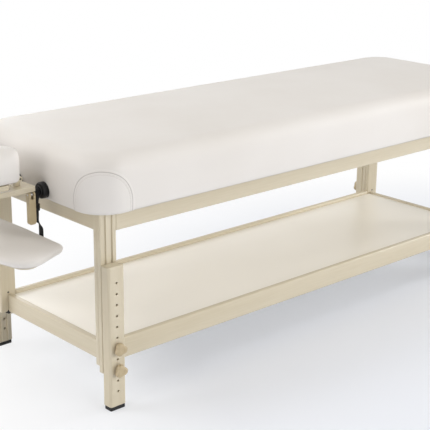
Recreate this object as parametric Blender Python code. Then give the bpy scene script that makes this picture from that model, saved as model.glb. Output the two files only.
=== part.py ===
"""Stationary massage table with a shelf, four telescoping legs, a sliding face cradle and a hanging arm rest.

Metres, +Z up, +X towards the foot end, -Y towards the viewer. Places are worked out about the middle of the
table top, and the whole part is then moved along X, so that the middle of its length stands at the origin."""

import math

import bmesh
import bpy
from mathutils import Matrix, Vector

# Clearance between pieces that touch, broken edges, and how far a cutter runs past what it cuts.
FIT = 0.0003
EDGE = 0.002
OVERRUN = 0.002

# Table top: upholstered, with round corners, a rolled top edge, a drawn-in bottom edge and a slight crown.
TOP_LENGTH = 1.900
TOP_WIDTH = 0.637
CUSHION_HIGH = 0.172
CORNER_RADIUS = 0.095
TOP_ROLL = 0.050
TOP_TUCK = 0.012
TOP_CROWN = 0.005

# Apron frame and deck board under it.
FRAME_TOP = 0.583
LEG_INSET = 0.0375
RAIL_HIGH = 0.056
RAIL_THICK = 0.020
END_RAIL_INSET = 0.012
DECK_THICK = 0.016

# Fixed posts: a grooved outer board, and a plain inner board that starts level with the shelf.
POST_WIDE = 0.056
POST_OUTER_THICK = 0.0155
POST_INNER_THICK = 0.016
POST_LOW = 0.109
GROOVE_WIDE = 0.0075
GROOVE_DEEP = 0.004
GROOVE_OFFSET = 0.01125

# Leg extensions with their row of holes, and the rubber feet.
EXTENSION_THICK = 0.0344
EXTENSION_ROUND = 0.007
HOLE_PITCH = 0.033
HOLE_COUNT = 11
HOLE_RADIUS = 0.0035
HOLE_MARGIN = 0.0495
UPPER_KNOB_HOLE = 6
LOWER_KNOB_HOLE = 8
LOWER_KNOB_RISE = 0.0155
FOOT_HIGH = 0.012
FOOT_INSET = 0.002

# Clamping knobs with their studs, and the sleeve nuts behind the lower ones.
KNOB_RADIUS = 0.021
LOBE_DEPTH = 0.003
LOBE_COUNT = 3
LOBE_TURN = 225
KNOB_HIGH = 0.014
HUB_HIGH = 0.008
HUB_RADIUS = 0.009
STUD_RADIUS = 0.003
NUT_RADIUS = 0.0065
NUT_SIDES = 6

# Shelf.
SHELF_LOW = 0.1274
SHELF_SIDE_HIGH = 0.065
SHELF_END_HIGH = 0.0575
SHELF_BOARD_LIFT = 0.041
SHELF_THICK = 0.012
SHELF_RAIL_THICK = 0.019
SHELF_SIDE_INSET = 0.0133
SHELF_END_INSET = 0.026
SHELF_ROUND = 0.004

# Rods of the face cradle, and the flanged sleeves that they slide in.
ROD_OFFSET = 0.067
ROD_LIFT = 0.031
ROD_RADIUS = 0.008
ROD_INSIDE = 0.160
ROD_PLAY = 0.0005
SLEEVE_WALL = 0.005
SLEEVE_DEEP = 0.185
FLANGE_RIM = 0.0105
FLANGE_PROUD = 0.016
FLANGE_DEEP = 0.0065
FLANGE_ROUND = 0.003

# Cross bar at the rods' ends.
BAR_STANDOFF = 0.043
BAR_THICK = 0.022
BAR_ABOVE_ROD = 0.002
BAR_BELOW_ROD = 0.0135
BAR_END_WALL = 0.0037

# Base frame: a U of board with hinge lugs and rest blocks on it.
BASE_LONG = 0.199
BASE_THICK = 0.0155
BASE_HALF_WIDE = 0.096
BASE_ARM_WIDE = 0.036
BASE_BACK_DEEP = 0.048
PLATFORM_GAP = 0.0155
HINGE_SET = 0.037
PIN_RADIUS = 0.0035
LUG_WIDE = 0.012
LUG_WALL = 0.005
REST_LONG = 0.025
REST_INSET = 0.006

# Tilting platform and the padded horseshoe on it.
PLATFORM_THICK = 0.015
PLATFORM_INSET = 0.012
PLATFORM_CORNER = 0.012
PLATFORM_TIP_INSET = 0.040
TONGUE_WIDE = 0.014
FACE_SETBACK = 0.060
FACE_LONG = 0.297
FACE_HALF_WIDE = 0.145
FACE_ARM_WIDE = 0.094
FACE_HIGH = 0.0995

# Cam lever, its eye bolt and its pin.
LEVER_WIDE = 0.022
LEVER_THICK = 0.016
LEVER_LONG = 0.0966
LEVER_GAP = 0.001
LEVER_SLOT = 0.0085
SLOT_BELOW_PIN = 0.014
CAM_BOLT_RADIUS = 0.0025
CAM_BOLT_LONG = 0.040
EYE_RADIUS = 0.0058
EYE_WIDE = 0.0072
CAM_PIN_RADIUS = 0.002
BOLT_WALL = 0.001

# Hanging arm rest: a board with a crowned pad. Its plan is drawn tight round six discs: a small one at each rear
# corner, a larger one at each front corner, and one each at the middle of its back and of its front.
PAD_STANDOFF = 0.0125
PAD_DEEP = 0.2275
PAD_WIDE = 0.480
PAD_REAR_WIDE = 0.387
PAD_REAR_ROUND = 0.0215
PAD_REAR_INSET = 0.003
PAD_FRONT_SET = 0.1315
PAD_FRONT_ROUND = 0.055
PAD_BACK_ROUND = 0.030
PAD_NOSE_ROUND = 0.105
PAD_HANG = 0.127
PAD_HIGH = 0.0357
PAD_BOARD_THICK = 0.008
PAD_BOARD_INSET = 0.0205
PAD_ROLL = 0.014
PAD_TUCK = 0.004
PAD_CROWN = 0.005

# Webbing straps that carry it, and the slider buckle on the one that hangs from the near rod.
STRAP_WIDE = 0.022
STRAP_THICK = 0.0016
SEW_DROP = 0.028
TWIST_DROP = 0.062
TWIST_LONG = 0.052
TAB_LONG = 0.045
FAR_STRAP_Y = 0.165
BUCKLE_DROP = 0.036
BUCKLE_HIGH = 0.022
BUCKLE_WALL = 0.003

# Shares of a stuffed form: levels up its side, how much of the tuck is left there, and rings of its crown.
SIDE_LEVEL_shares = (0.0, 0.05, 0.2, 0.45, 0.75)
SIDE_TUCK_shares = (1.0, 0.5, 0.15, 0.0, 0.0)
CROWN_RING_shares = (0.75, 0.45)
CORNER_KEEP_share = 0.5
TIP_HEIGHT_share = 0.55
HORSESHOE_SIDE_share = 0.55
HORSESHOE_TOP_share = 0.62
HORSESHOE_BASE_share = 0.30
EXTENSION_ARC_share = 0.3

# Counts that set how finely curves are stepped.
ROUND_SIDES = 32
SMALL_SIDES = 16
HOLE_SIDES = 10
KNOB_SIDES = 24
CORNER_STEPS = 7
LONG_STEPS = 8
SHORT_STEPS = 4
ROLL_STEPS = 5
PAD_SIDES = 60
HORSESHOE_SIDES = 24
BEND_STEPS = 14
ARM_STEPS = 3
TIP_STEPS = 5
TWIST_STEPS = 8
ARC_STEPS = 8
SMOOTH_ANGLE = 38

HEAD_FOOT = ((-1, "head"), (1, "foot"))
NEAR_FAR = ((-1, "near"), (1, "far"))

# Places that follow from the sizes above. Distances along X at the head end are counted from the table's middle.
HALF_LENGTH = TOP_LENGTH / 2
HALF_WIDTH = TOP_WIDTH / 2
LEG_X = HALF_LENGTH - LEG_INSET
LEG_Y = HALF_WIDTH - LEG_INSET
POST_X = LEG_X - POST_WIDE / 2
POST_INNER_Y = LEG_Y - POST_OUTER_THICK - FIT - POST_INNER_THICK
RAIL_LOW = FRAME_TOP - RAIL_HIGH
CUSHION_LOW = FRAME_TOP + FIT
LOWER_KNOB_Z = POST_LOW + LOWER_KNOB_RISE
EXTENSION_TOP = LOWER_KNOB_Z + LOWER_KNOB_HOLE * HOLE_PITCH + HOLE_MARGIN
ROD_Z = FRAME_TOP + ROD_LIFT
SLEEVE_BORE = ROD_RADIUS + ROD_PLAY
SLEEVE_RADIUS = SLEEVE_BORE + SLEEVE_WALL
FLANGE_RADIUS = SLEEVE_RADIUS + FLANGE_RIM
BAR_X = HALF_LENGTH + BAR_STANDOFF
BAR_TOP = ROD_Z + ROD_RADIUS + FIT + BAR_ABOVE_ROD
BAR_LOW = ROD_Z - ROD_RADIUS - FIT - BAR_BELOW_ROD
BAR_HALF_WIDE = ROD_OFFSET + ROD_RADIUS + FIT + BAR_END_WALL
PIN_X = BAR_X + BAR_THICK / 2
HINGE_X = BAR_X + HINGE_SET
ROD_END_X = PIN_X - CAM_BOLT_RADIUS - FIT - BOLT_WALL - FIT
BASE_LOW = BAR_TOP + FIT
BASE_TOP = BASE_LOW + BASE_THICK
BASE_REACH = BAR_X + BASE_LONG
PLATFORM_LOW = BASE_TOP + PLATFORM_GAP
PLATFORM_TOP = PLATFORM_LOW + PLATFORM_THICK
PIN_Z = PLATFORM_LOW + PLATFORM_THICK / 2
PLATFORM_IN = FACE_HALF_WIDE - FACE_ARM_WIDE + PLATFORM_INSET
TONGUE_IN = PLATFORM_IN + EDGE
FACE_LOW = PLATFORM_TOP + FIT
FACE_TIP_X = BAR_X + FACE_SETBACK
HEAD_REACH = FACE_TIP_X + FACE_LONG
LEVER_Y = BAR_HALF_WIDE + FIT + LEVER_THICK / 2
LEVER_PIN_Z = BASE_LOW - LEVER_GAP - LEVER_THICK / 2
PAD_BACK_X = HALF_LENGTH + PAD_STANDOFF
PAD_X = PAD_BACK_X + PAD_DEEP / 2
PAD_DISCS = (
    (-PAD_BACK_X - PAD_BACK_ROUND, 0, PAD_BACK_ROUND),
    (PAD_NOSE_ROUND - PAD_BACK_X - PAD_DEEP, 0, PAD_NOSE_ROUND),
    (-PAD_BACK_X - PAD_REAR_INSET - PAD_REAR_ROUND, PAD_REAR_WIDE / 2 - PAD_REAR_ROUND, PAD_REAR_ROUND),
    (-PAD_BACK_X - PAD_REAR_INSET - PAD_REAR_ROUND, PAD_REAR_ROUND - PAD_REAR_WIDE / 2, PAD_REAR_ROUND),
    (-PAD_BACK_X - PAD_FRONT_SET, PAD_WIDE / 2 - PAD_FRONT_ROUND, PAD_FRONT_ROUND),
    (-PAD_BACK_X - PAD_FRONT_SET, PAD_FRONT_ROUND - PAD_WIDE / 2, PAD_FRONT_ROUND),
)
PAD_TOP = BASE_LOW - PAD_HANG
PAD_LOW = PAD_TOP - PAD_HIGH
PAD_BOARD_TOP = PAD_LOW - FIT
PAD_BOARD_LOW = PAD_BOARD_TOP - PAD_BOARD_THICK
TAB_TOP = PAD_BOARD_LOW - FIT
STRAP_BACK_X = FIT + FIT + STRAP_THICK / 2 - PAD_BACK_X
FRONT_STRAP_Y = BASE_HALF_WIDE - BASE_ARM_WIDE / 2
LOOP_X = HALF_LENGTH + FLANGE_PROUD + ROD_PLAY + STRAP_WIDE / 2
TABLE_X = (HEAD_REACH - HALF_LENGTH) / 2


class Body:
    """An empty at a joint's place, which carries the pieces that move together."""

    def __init__(self, name, place, parent=None):
        self.place = Vector(place)
        self.empty = bpy.data.objects.new(name, None)
        bpy.context.scene.collection.objects.link(self.empty)
        if parent:
            self.empty.parent = parent.empty
            self.empty.location = self.place - parent.place
        else:
            self.empty.location = (TABLE_X, 0, 0)

    def carry(self, piece):
        """Parents a piece, whose points are counted from the middle of the table top's plan."""
        piece.parent = self.empty
        piece.matrix_parent_inverse = Matrix.Translation(-self.place)


def finish(name, colour, roughness, metallic=0):
    """A plain Principled material."""
    material = bpy.data.materials.new(name)
    material.use_nodes = True
    shader = material.node_tree.nodes["Principled BSDF"]
    shader.inputs["Base Color"].default_value = (*colour, 1)
    shader.inputs["Roughness"].default_value = roughness
    shader.inputs["Metallic"].default_value = metallic
    material.diffuse_color = (*colour, 1)
    return material


def made(name, shape, material, body, smooth=False):
    """Turns a bmesh into a named piece of a body, with its faces outward."""
    bmesh.ops.recalc_face_normals(shape, faces=shape.faces)
    mesh = bpy.data.meshes.new(name)
    shape.to_mesh(mesh)
    shape.free()
    if smooth:
        mesh.shade_smooth()
        mesh.set_sharp_from_angle(angle=math.radians(SMOOTH_ANGLE))
    if material:
        mesh.materials.append(material)
    piece = bpy.data.objects.new(name, mesh)
    bpy.context.scene.collection.objects.link(piece)
    body.carry(piece)
    return piece


def combine(piece, shape, body, operation):
    """Cuts a helper shape from a piece, or joins it on."""
    helper = made(f"{piece.name}_{operation.lower()}_{len(piece.modifiers)}", shape, None, body)
    helper.hide_render = True
    helper.display_type = "WIRE"
    step = piece.modifiers.new(operation.lower(), "BOOLEAN")
    step.operation = operation
    step.solver = "EXACT"
    step.object = helper


def cut(piece, shape, body):
    combine(piece, shape, body, "DIFFERENCE")


def join(piece, shape, body):
    combine(piece, shape, body, "UNION")


def add_block(shape, low, high, edge=0):
    """A box between two corners, with its edges broken."""
    low = Vector(low)
    high = Vector(high)
    corners = bmesh.ops.create_cube(shape, size=1)["verts"]
    for corner in corners:
        corner.co = (low + high) / 2 + Vector([c * s for c, s in zip(corner.co, high - low)])
    if edge:
        edges = list({e for corner in corners for e in corner.link_edges})
        bmesh.ops.bevel(shape, geom=edges, offset=edge, segments=1, affect="EDGES")


def box(low, high, edge=0):
    shape = bmesh.new()
    add_block(shape, low, high, edge)
    return shape


def mirrored_box(side_x, side_y, low, high, edge=0):
    """A box given in the far foot quarter, placed in any quarter."""
    xs = sorted((side_x * low[0], side_x * high[0]))
    ys = sorted((side_y * low[1], side_y * high[1]))
    return box((xs[0], ys[0], low[2]), (xs[1], ys[1], high[2]), edge)


def add_round(shape, start, end, radius, sides=ROUND_SIDES):
    """A cylinder between two points."""
    start = Vector(start)
    end = Vector(end)
    turn = Vector((0, 0, 1)).rotation_difference(end - start).to_matrix().to_4x4()
    bmesh.ops.create_cone(
        shape,
        cap_ends=True,
        segments=sides,
        radius1=radius,
        radius2=radius,
        depth=(end - start).length,
        matrix=Matrix.Translation((start + end) / 2) @ turn,
    )


def rod(start, end, radius, sides=ROUND_SIDES):
    shape = bmesh.new()
    add_round(shape, start, end, radius, sides)
    return shape


def skin(rings, peak=None):
    """Skins a stack of rings that have equal numbers of points, and closes both ends."""
    shape = bmesh.new()
    rows = [[shape.verts.new(point) for point in ring] for ring in rings]
    count = len(rows[0])
    for lower, upper in zip(rows, rows[1:]):
        for i in range(count):
            j = (i + 1) % count
            shape.faces.new((lower[i], lower[j], upper[j], upper[i]))
    shape.faces.new(rows[0])
    if peak:
        top = shape.verts.new(peak)
        for i in range(count):
            shape.faces.new((rows[-1][i], rows[-1][(i + 1) % count], top))
    else:
        shape.faces.new(rows[-1])
    return shape


def prism(outline, low, high, along="Z"):
    """Runs an outline, given in the plane across one axis, between two stations on that axis."""
    place = {
        "X": lambda u, v, w: (w, u, v),
        "Y": lambda u, v, w: (u, w, v),
        "Z": lambda u, v, w: (u, v, w),
    }[along]
    return skin([[place(u, v, station) for u, v in outline] for station in (low, high)])


def arc(centre, radius, first, last, steps):
    """Points of an arc in a plane, from the first angle to the last, in degrees."""
    angles = [math.radians(first + (last - first) * k / steps) for k in range(steps + 1)]
    return [(centre[0] + radius * math.cos(a), centre[1] + radius * math.sin(a)) for a in angles]


def rounded_rectangle(half_x, half_y, radius):
    """A rectangle with round corners and extra points along its sides, for the crown to bend."""
    points = []
    for side_x, side_y, first in ((1, 1, 0), (-1, 1, 90), (-1, -1, 180), (1, -1, 270)):
        centre = (side_x * (half_x - radius), side_y * (half_y - radius))
        points += arc(centre, radius, first, first + 90, CORNER_STEPS)
        along_x = side_x == side_y
        steps = LONG_STEPS if along_x else SHORT_STEPS
        last = Vector(points[-1])
        run = Vector((-2 * centre[0], 0)) if along_x else Vector((0, -2 * centre[1]))
        points += [tuple(last + run * k / steps) for k in range(1, steps)]
    return points


def stuffed(outline, middle, low, high, roll, tuck, crown):
    """A stuffed form: drawn in at the bottom, full at the side, rolled over at the top edge, then crowned.
    outline(inset) gives its plan at that inset."""
    edge_high = high - crown
    side_high = edge_high - roll - low
    rings = []
    for level, share in zip(SIDE_LEVEL_shares, SIDE_TUCK_shares):
        rings.append([(x, y, low + side_high * level) for x, y in outline(tuck * share)])
    for k in range(ROLL_STEPS + 1):
        angle = math.radians(90 * k / ROLL_STEPS)
        inset = roll * (1 - math.cos(angle))
        rings.append([(x, y, edge_high - roll + roll * math.sin(angle)) for x, y in outline(inset)])
    rim = outline(roll)
    for share in CROWN_RING_shares:
        level = edge_high + crown * (1 - share * share)
        rings.append([(middle + (x - middle) * share, y * share, level) for x, y in rim])
    return skin(rings, (middle, 0, high))


def top_cushion(material, frame):
    def outline(inset):
        corner = CORNER_RADIUS - inset * CORNER_KEEP_share
        return rounded_rectangle(HALF_LENGTH - inset, HALF_WIDTH - inset, corner)

    shape = stuffed(outline, 0, CUSHION_LOW, CUSHION_LOW + CUSHION_HIGH, TOP_ROLL, TOP_TUCK, TOP_CROWN)
    piece = made("top_cushion", shape, material, frame, True)
    mouth = -HALF_LENGTH - OVERRUN
    pockets = (
        (FLANGE_RADIUS + FIT, -HALF_LENGTH + FLANGE_DEEP + FIT),
        (SLEEVE_RADIUS + FIT, -HALF_LENGTH + SLEEVE_DEEP + FIT),
    )
    for side, _ in NEAR_FAR:
        for radius, floor in pockets:
            y = side * ROD_OFFSET
            cut(piece, rod((mouth, y, ROD_Z), (floor, y, ROD_Z), radius), frame)


def deck_board(material, frame):
    reach_x = LEG_X - END_RAIL_INSET - RAIL_THICK - FIT
    reach_y = LEG_Y - RAIL_THICK - FIT
    shape = box((-reach_x, -reach_y, FRAME_TOP - DECK_THICK), (reach_x, reach_y, FRAME_TOP))
    piece = made("deck_board", shape, material, frame)
    low = (LEG_X - POST_WIDE - FIT, POST_INNER_Y - FIT, RAIL_LOW - OVERRUN)
    high = (LEG_X + OVERRUN, LEG_Y + OVERRUN, FRAME_TOP + OVERRUN)
    for side_x, _ in HEAD_FOOT:
        for side_y, _ in NEAR_FAR:
            cut(piece, mirrored_box(side_x, side_y, low, high), frame)


def top_rails(material, frame):
    """The apron: two long rails and two end rails, butted between the posts."""
    reach_x = LEG_X - POST_WIDE - FIT
    reach_y = POST_INNER_Y - FIT
    for side, flank in NEAR_FAR:
        low = (-reach_x, LEG_Y - RAIL_THICK, RAIL_LOW)
        shape = mirrored_box(1, side, low, (reach_x, LEG_Y, FRAME_TOP), EDGE)
        made(f"top_rail_{flank}", shape, material, frame)
    outer = LEG_X - END_RAIL_INSET
    for side, end in HEAD_FOOT:
        low = (outer - RAIL_THICK, -reach_y, RAIL_LOW)
        shape = mirrored_box(side, 1, low, (outer, reach_y, FRAME_TOP), EDGE)
        made(f"top_rail_{end}", shape, material, frame)


def knob_height(hole):
    """Height of a hole in the row, counted from the top one."""
    return LOWER_KNOB_Z + (LOWER_KNOB_HOLE - hole) * HOLE_PITCH


def drill(piece, side_x, side_y, near, far, holes, radius, body):
    """Drills holes of the row across a piece, between two distances from the middle."""
    shape = bmesh.new()
    for hole in holes:
        start = (side_x * POST_X, side_y * (near - OVERRUN), knob_height(hole))
        end = (side_x * POST_X, side_y * (far + OVERRUN), knob_height(hole))
        add_round(shape, start, end, radius, HOLE_SIDES)
    cut(piece, shape, body)


def post_outline(side_x, side_y):
    """Plan of a post's outer board, with two grooves down its outer face."""
    half = POST_WIDE / 2
    groove_in = GROOVE_OFFSET - GROOVE_WIDE / 2
    groove_out = GROOVE_OFFSET + GROOVE_WIDE / 2
    half_plan = [
        (groove_in, LEG_Y),
        (groove_in, LEG_Y - GROOVE_DEEP),
        (groove_out, LEG_Y - GROOVE_DEEP),
        (groove_out, LEG_Y),
        (half - EDGE, LEG_Y),
        (half, LEG_Y - EDGE),
        (half, LEG_Y - POST_OUTER_THICK),
    ]
    plan = half_plan + [(-x, y) for x, y in reversed(half_plan)]
    return [(side_x * (POST_X + x), side_y * y) for x, y in plan]


def post(side_x, side_y, where, material, frame):
    shape = prism(post_outline(side_x, side_y), POST_LOW, FRAME_TOP)
    outer = made(f"post_{where}", shape, material, frame)
    inner_face = LEG_Y - POST_OUTER_THICK
    both = (UPPER_KNOB_HOLE, LOWER_KNOB_HOLE)
    drill(outer, side_x, side_y, inner_face, LEG_Y, both, HOLE_RADIUS, frame)
    low = (LEG_X - POST_WIDE, POST_INNER_Y, SHELF_LOW)
    high = (LEG_X, POST_INNER_Y + POST_INNER_THICK, FRAME_TOP)
    inner = made(f"post_liner_{where}", mirrored_box(side_x, side_y, low, high, EDGE), material, frame)
    span = (side_x, side_y, POST_INNER_Y, high[1])
    drill(inner, *span, (UPPER_KNOB_HOLE,), HOLE_RADIUS, frame)
    drill(inner, *span, (LOWER_KNOB_HOLE,), NUT_RADIUS + FIT, frame)


def extension_outline(side_x, side_y):
    """Plan of a leg extension: round outer corners, and two tongues that run in the post's grooves."""
    half = POST_WIDE / 2
    tongue_in = GROOVE_OFFSET - GROOVE_WIDE / 2 + FIT
    tongue_out = GROOVE_OFFSET + GROOVE_WIDE / 2 - FIT
    face = LEG_Y + FIT
    tip = LEG_Y - GROOVE_DEEP + FIT
    outer = face + EXTENSION_THICK
    nick = EXTENSION_ROUND * EXTENSION_ARC_share
    half_plan = [
        (tongue_in, face),
        (tongue_in, tip),
        (tongue_out, tip),
        (tongue_out, face),
        (half - EDGE, face),
        (half, face + EDGE),
        (half, outer - EXTENSION_ROUND),
        (half - nick, outer - nick),
        (half - EXTENSION_ROUND, outer),
    ]
    plan = half_plan + [(-x, y) for x, y in reversed(half_plan)]
    return [(side_x * (POST_X + x), side_y * y) for x, y in plan]


def leg_extension(side_x, side_y, where, material, leg):
    shape = prism(extension_outline(side_x, side_y), FOOT_HIGH + FIT, EXTENSION_TOP)
    piece = made(f"leg_extension_{where}", shape, material, leg)
    far = LEG_Y + EXTENSION_THICK
    drill(piece, side_x, side_y, LEG_Y - GROOVE_DEEP, far, range(HOLE_COUNT), HOLE_RADIUS, leg)


def foot(side_x, side_y, where, material, leg):
    half = POST_WIDE / 2 - FOOT_INSET
    low = (POST_X - half, LEG_Y + FIT + FOOT_INSET, 0)
    high = (POST_X + half, LEG_Y + FIT + EXTENSION_THICK - FOOT_INSET, FOOT_HIGH)
    made(f"foot_{where}", mirrored_box(side_x, side_y, low, high, EDGE), material, leg)


def knob(name, side_x, side_y, hole, material, body):
    """A lobed hand knob in one piece with its stud."""
    face = LEG_Y + FIT + EXTENSION_THICK + FIT
    shoulder = face + HUB_HIGH
    crown = shoulder + KNOB_HIGH
    mean = KNOB_RADIUS - LOBE_DEPTH
    stations = (
        (POST_INNER_Y, STUD_RADIUS, 0),
        (face, STUD_RADIUS, 0),
        (face, HUB_RADIUS, 0),
        (shoulder, HUB_RADIUS, 0),
        (shoulder, mean - EDGE, LOBE_DEPTH),
        (shoulder + EDGE, mean, LOBE_DEPTH),
        (crown - EDGE, mean, LOBE_DEPTH),
        (crown, mean - EDGE, LOBE_DEPTH),
    )
    rings = []
    for y, radius, depth in stations:
        ring = []
        for k in range(KNOB_SIDES):
            angle = math.tau * k / KNOB_SIDES
            reach = radius + depth * math.cos(LOBE_COUNT * (angle - math.radians(LOBE_TURN)))
            x = side_x * POST_X + reach * math.sin(angle)
            ring.append((x, side_y * y, knob_height(hole) + reach * math.cos(angle)))
        rings.append(ring)
    made(name, skin(rings), material, body, True)


def sleeve_nut(side_x, side_y, where, material, frame):
    """The long nut on a lower stud. It bears on the outer board, in a hole at the inner board's end."""
    x = side_x * POST_X
    z = knob_height(LOWER_KNOB_HOLE)
    far = LEG_Y - POST_OUTER_THICK - FIT
    shape = rod((x, side_y * POST_INNER_Y, z), (x, side_y * far, z), NUT_RADIUS, NUT_SIDES)
    piece = made(f"sleeve_nut_{where}", shape, material, frame)
    drill(piece, side_x, side_y, POST_INNER_Y, far, (LOWER_KNOB_HOLE,), STUD_RADIUS + FIT, frame)


def shelf(board_finish, rail_finish, frame):
    """Shelf board between two long rails and two end rails, butted between the posts."""
    side_out = LEG_Y - SHELF_SIDE_INSET
    side_in = side_out - SHELF_RAIL_THICK
    end_out = LEG_X - SHELF_END_INSET
    end_in = end_out - SHELF_RAIL_THICK
    reach_x = LEG_X - POST_WIDE - FIT
    reach_y = POST_INNER_Y - FIT
    for side, flank in NEAR_FAR:
        low = (-reach_x, side_in, SHELF_LOW)
        high = (reach_x, side_out, SHELF_LOW + SHELF_SIDE_HIGH)
        made(f"shelf_rail_{flank}", mirrored_box(1, side, low, high, SHELF_ROUND), rail_finish, frame)
    for side, end in HEAD_FOOT:
        low = (end_in, -reach_y, SHELF_LOW)
        high = (end_out, reach_y, SHELF_LOW + SHELF_END_HIGH)
        made(f"shelf_rail_{end}", mirrored_box(side, 1, low, high, EDGE), rail_finish, frame)
    board_x = end_in - FIT
    board_y = min(side_in, POST_INNER_Y) - FIT
    low = SHELF_LOW + SHELF_BOARD_LIFT
    shape = box((-board_x, -board_y, low), (board_x, board_y, low + SHELF_THICK))
    made("shelf_board", shape, board_finish, frame)


def rod_sleeve(side, flank, material, frame):
    """Flanged sleeve in the head end of the table top. A cradle rod slides in it."""
    y = side * ROD_OFFSET
    inner = -HALF_LENGTH + SLEEVE_DEEP
    outer = -HALF_LENGTH - FLANGE_PROUD
    stations = (
        (inner, SLEEVE_RADIUS),
        (-HALF_LENGTH + FLANGE_DEEP, SLEEVE_RADIUS),
        (-HALF_LENGTH + FLANGE_DEEP, FLANGE_RADIUS),
        (outer + FLANGE_ROUND, FLANGE_RADIUS),
        (outer, FLANGE_RADIUS - FLANGE_ROUND),
    )
    rings = []
    for x, radius in stations:
        rings.append([(x, v, w) for v, w in arc((y, ROD_Z), radius, 0, 360, ROUND_SIDES)[:-1]])
    piece = made(f"rod_sleeve_{flank}", skin(rings), material, frame, True)
    cut(piece, rod((outer - OVERRUN, y, ROD_Z), (inner + OVERRUN, y, ROD_Z), SLEEVE_BORE), frame)


def cradle_rod(side, flank, material, cradle):
    y = side * ROD_OFFSET
    shape = rod((-HALF_LENGTH + ROD_INSIDE, y, ROD_Z), (-ROD_END_X, y, ROD_Z), ROD_RADIUS)
    made(f"cradle_rod_{flank}", shape, material, cradle, True)


def cross_bar(material, cradle):
    """Bar across the rods' ends, drilled from its back for the rods and from its near end for the cam bolt."""
    low = (-BAR_X - BAR_THICK, -BAR_HALF_WIDE, BAR_LOW)
    shape = box(low, (-BAR_X, BAR_HALF_WIDE, BAR_TOP))
    piece = made("cross_bar", shape, material, cradle)
    for side, _ in NEAR_FAR:
        y = side * ROD_OFFSET
        start = (-BAR_X + OVERRUN, y, ROD_Z)
        cut(piece, rod(start, (-ROD_END_X - FIT, y, ROD_Z), ROD_RADIUS + FIT), cradle)
    start = (-PIN_X, -BAR_HALF_WIDE - OVERRUN, LEVER_PIN_Z)
    end = (-PIN_X, -LEVER_Y + CAM_BOLT_LONG + FIT, LEVER_PIN_Z)
    cut(piece, rod(start, end, CAM_BOLT_RADIUS + FIT, SMALL_SIDES), cradle)


def base_frame(material, cradle):
    """Fixed lower board of the cradle: a U that is open for the face, with hinge lugs and rest blocks on it."""
    arm_in = BASE_HALF_WIDE - BASE_ARM_WIDE
    back = -BAR_X - BASE_BACK_DEEP
    plan = [
        (-BAR_X, -BASE_HALF_WIDE),
        (-BAR_X, BASE_HALF_WIDE),
        (-BASE_REACH, BASE_HALF_WIDE),
        (-BASE_REACH, arm_in),
        (back, arm_in),
        (back, -arm_in),
        (-BASE_REACH, -arm_in),
        (-BASE_REACH, -BASE_HALF_WIDE),
    ]
    piece = made("base_frame", prism(plan, BASE_LOW, BASE_TOP), material, cradle)
    radius = PIN_RADIUS + LUG_WALL
    root = BASE_TOP - OVERRUN
    arch = arc((-HINGE_X, PIN_Z), radius, 180, 0, ARC_STEPS)
    lug = [(-HINGE_X - radius, root), *arch, (-HINGE_X + radius, root)]
    rest_in = PLATFORM_IN + REST_INSET
    rest_low = (-BASE_REACH + REST_INSET, rest_in, root)
    rest_high = (-BASE_REACH + REST_INSET + REST_LONG, BASE_HALF_WIDE - EDGE, PLATFORM_LOW - FIT)
    for side, _ in NEAR_FAR:
        ys = sorted((side * (TONGUE_IN - FIT), side * (TONGUE_IN - FIT - LUG_WIDE)))
        join(piece, prism(lug, *ys, "Y"), cradle)
        join(piece, mirrored_box(1, side, rest_low, rest_high), cradle)
    start = (-HINGE_X, -TONGUE_IN, PIN_Z)
    cut(piece, rod(start, (-HINGE_X, TONGUE_IN, PIN_Z), PIN_RADIUS + FIT, SMALL_SIDES), cradle)


def hinge_pin(material, cradle):
    reach = TONGUE_IN + TONGUE_WIDE
    shape = rod((-HINGE_X, -reach, PIN_Z), (-HINGE_X, reach, PIN_Z), PIN_RADIUS, SMALL_SIDES)
    made("hinge_pin", shape, material, cradle, True)


def tilt_platform(material, tilt):
    """Horseshoe board under the face cushion, with two tongues that turn on the hinge pin."""
    outer = FACE_HALF_WIDE - PLATFORM_INSET
    bend = (-HEAD_REACH + FACE_HALF_WIDE, 0)
    corner = PLATFORM_CORNER
    corner_x = -FACE_TIP_X - PLATFORM_TIP_INSET - corner
    plan = [
        *arc((corner_x, -outer + corner), corner, 270, 360, ROLL_STEPS),
        *arc((corner_x, -PLATFORM_IN - corner), corner, 0, 90, ROLL_STEPS),
        *arc(bend, PLATFORM_IN, 270, 90, BEND_STEPS),
        *arc((corner_x, PLATFORM_IN + corner), corner, 270, 360, ROLL_STEPS),
        *arc((corner_x, outer - corner), corner, 0, 90, ROLL_STEPS),
        *arc(bend, outer, 90, 270, BEND_STEPS),
    ]
    piece = made("tilt_platform", prism(plan, PLATFORM_LOW, PLATFORM_TOP), material, tilt)
    half = PLATFORM_THICK / 2
    root = corner_x - corner
    tongue = [(root, PLATFORM_LOW), *arc((-HINGE_X, PIN_Z), half, -90, 90, ARC_STEPS), (root, PLATFORM_TOP)]
    for side, _ in NEAR_FAR:
        ys = sorted((side * TONGUE_IN, side * (TONGUE_IN + TONGUE_WIDE)))
        join(piece, prism(tongue, *ys, "Y"), tilt)
    reach = TONGUE_IN + TONGUE_WIDE + OVERRUN
    cut(piece, rod((-HINGE_X, -reach, PIN_Z), (-HINGE_X, reach, PIN_Z), PIN_RADIUS + FIT, SMALL_SIDES), tilt)


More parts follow.
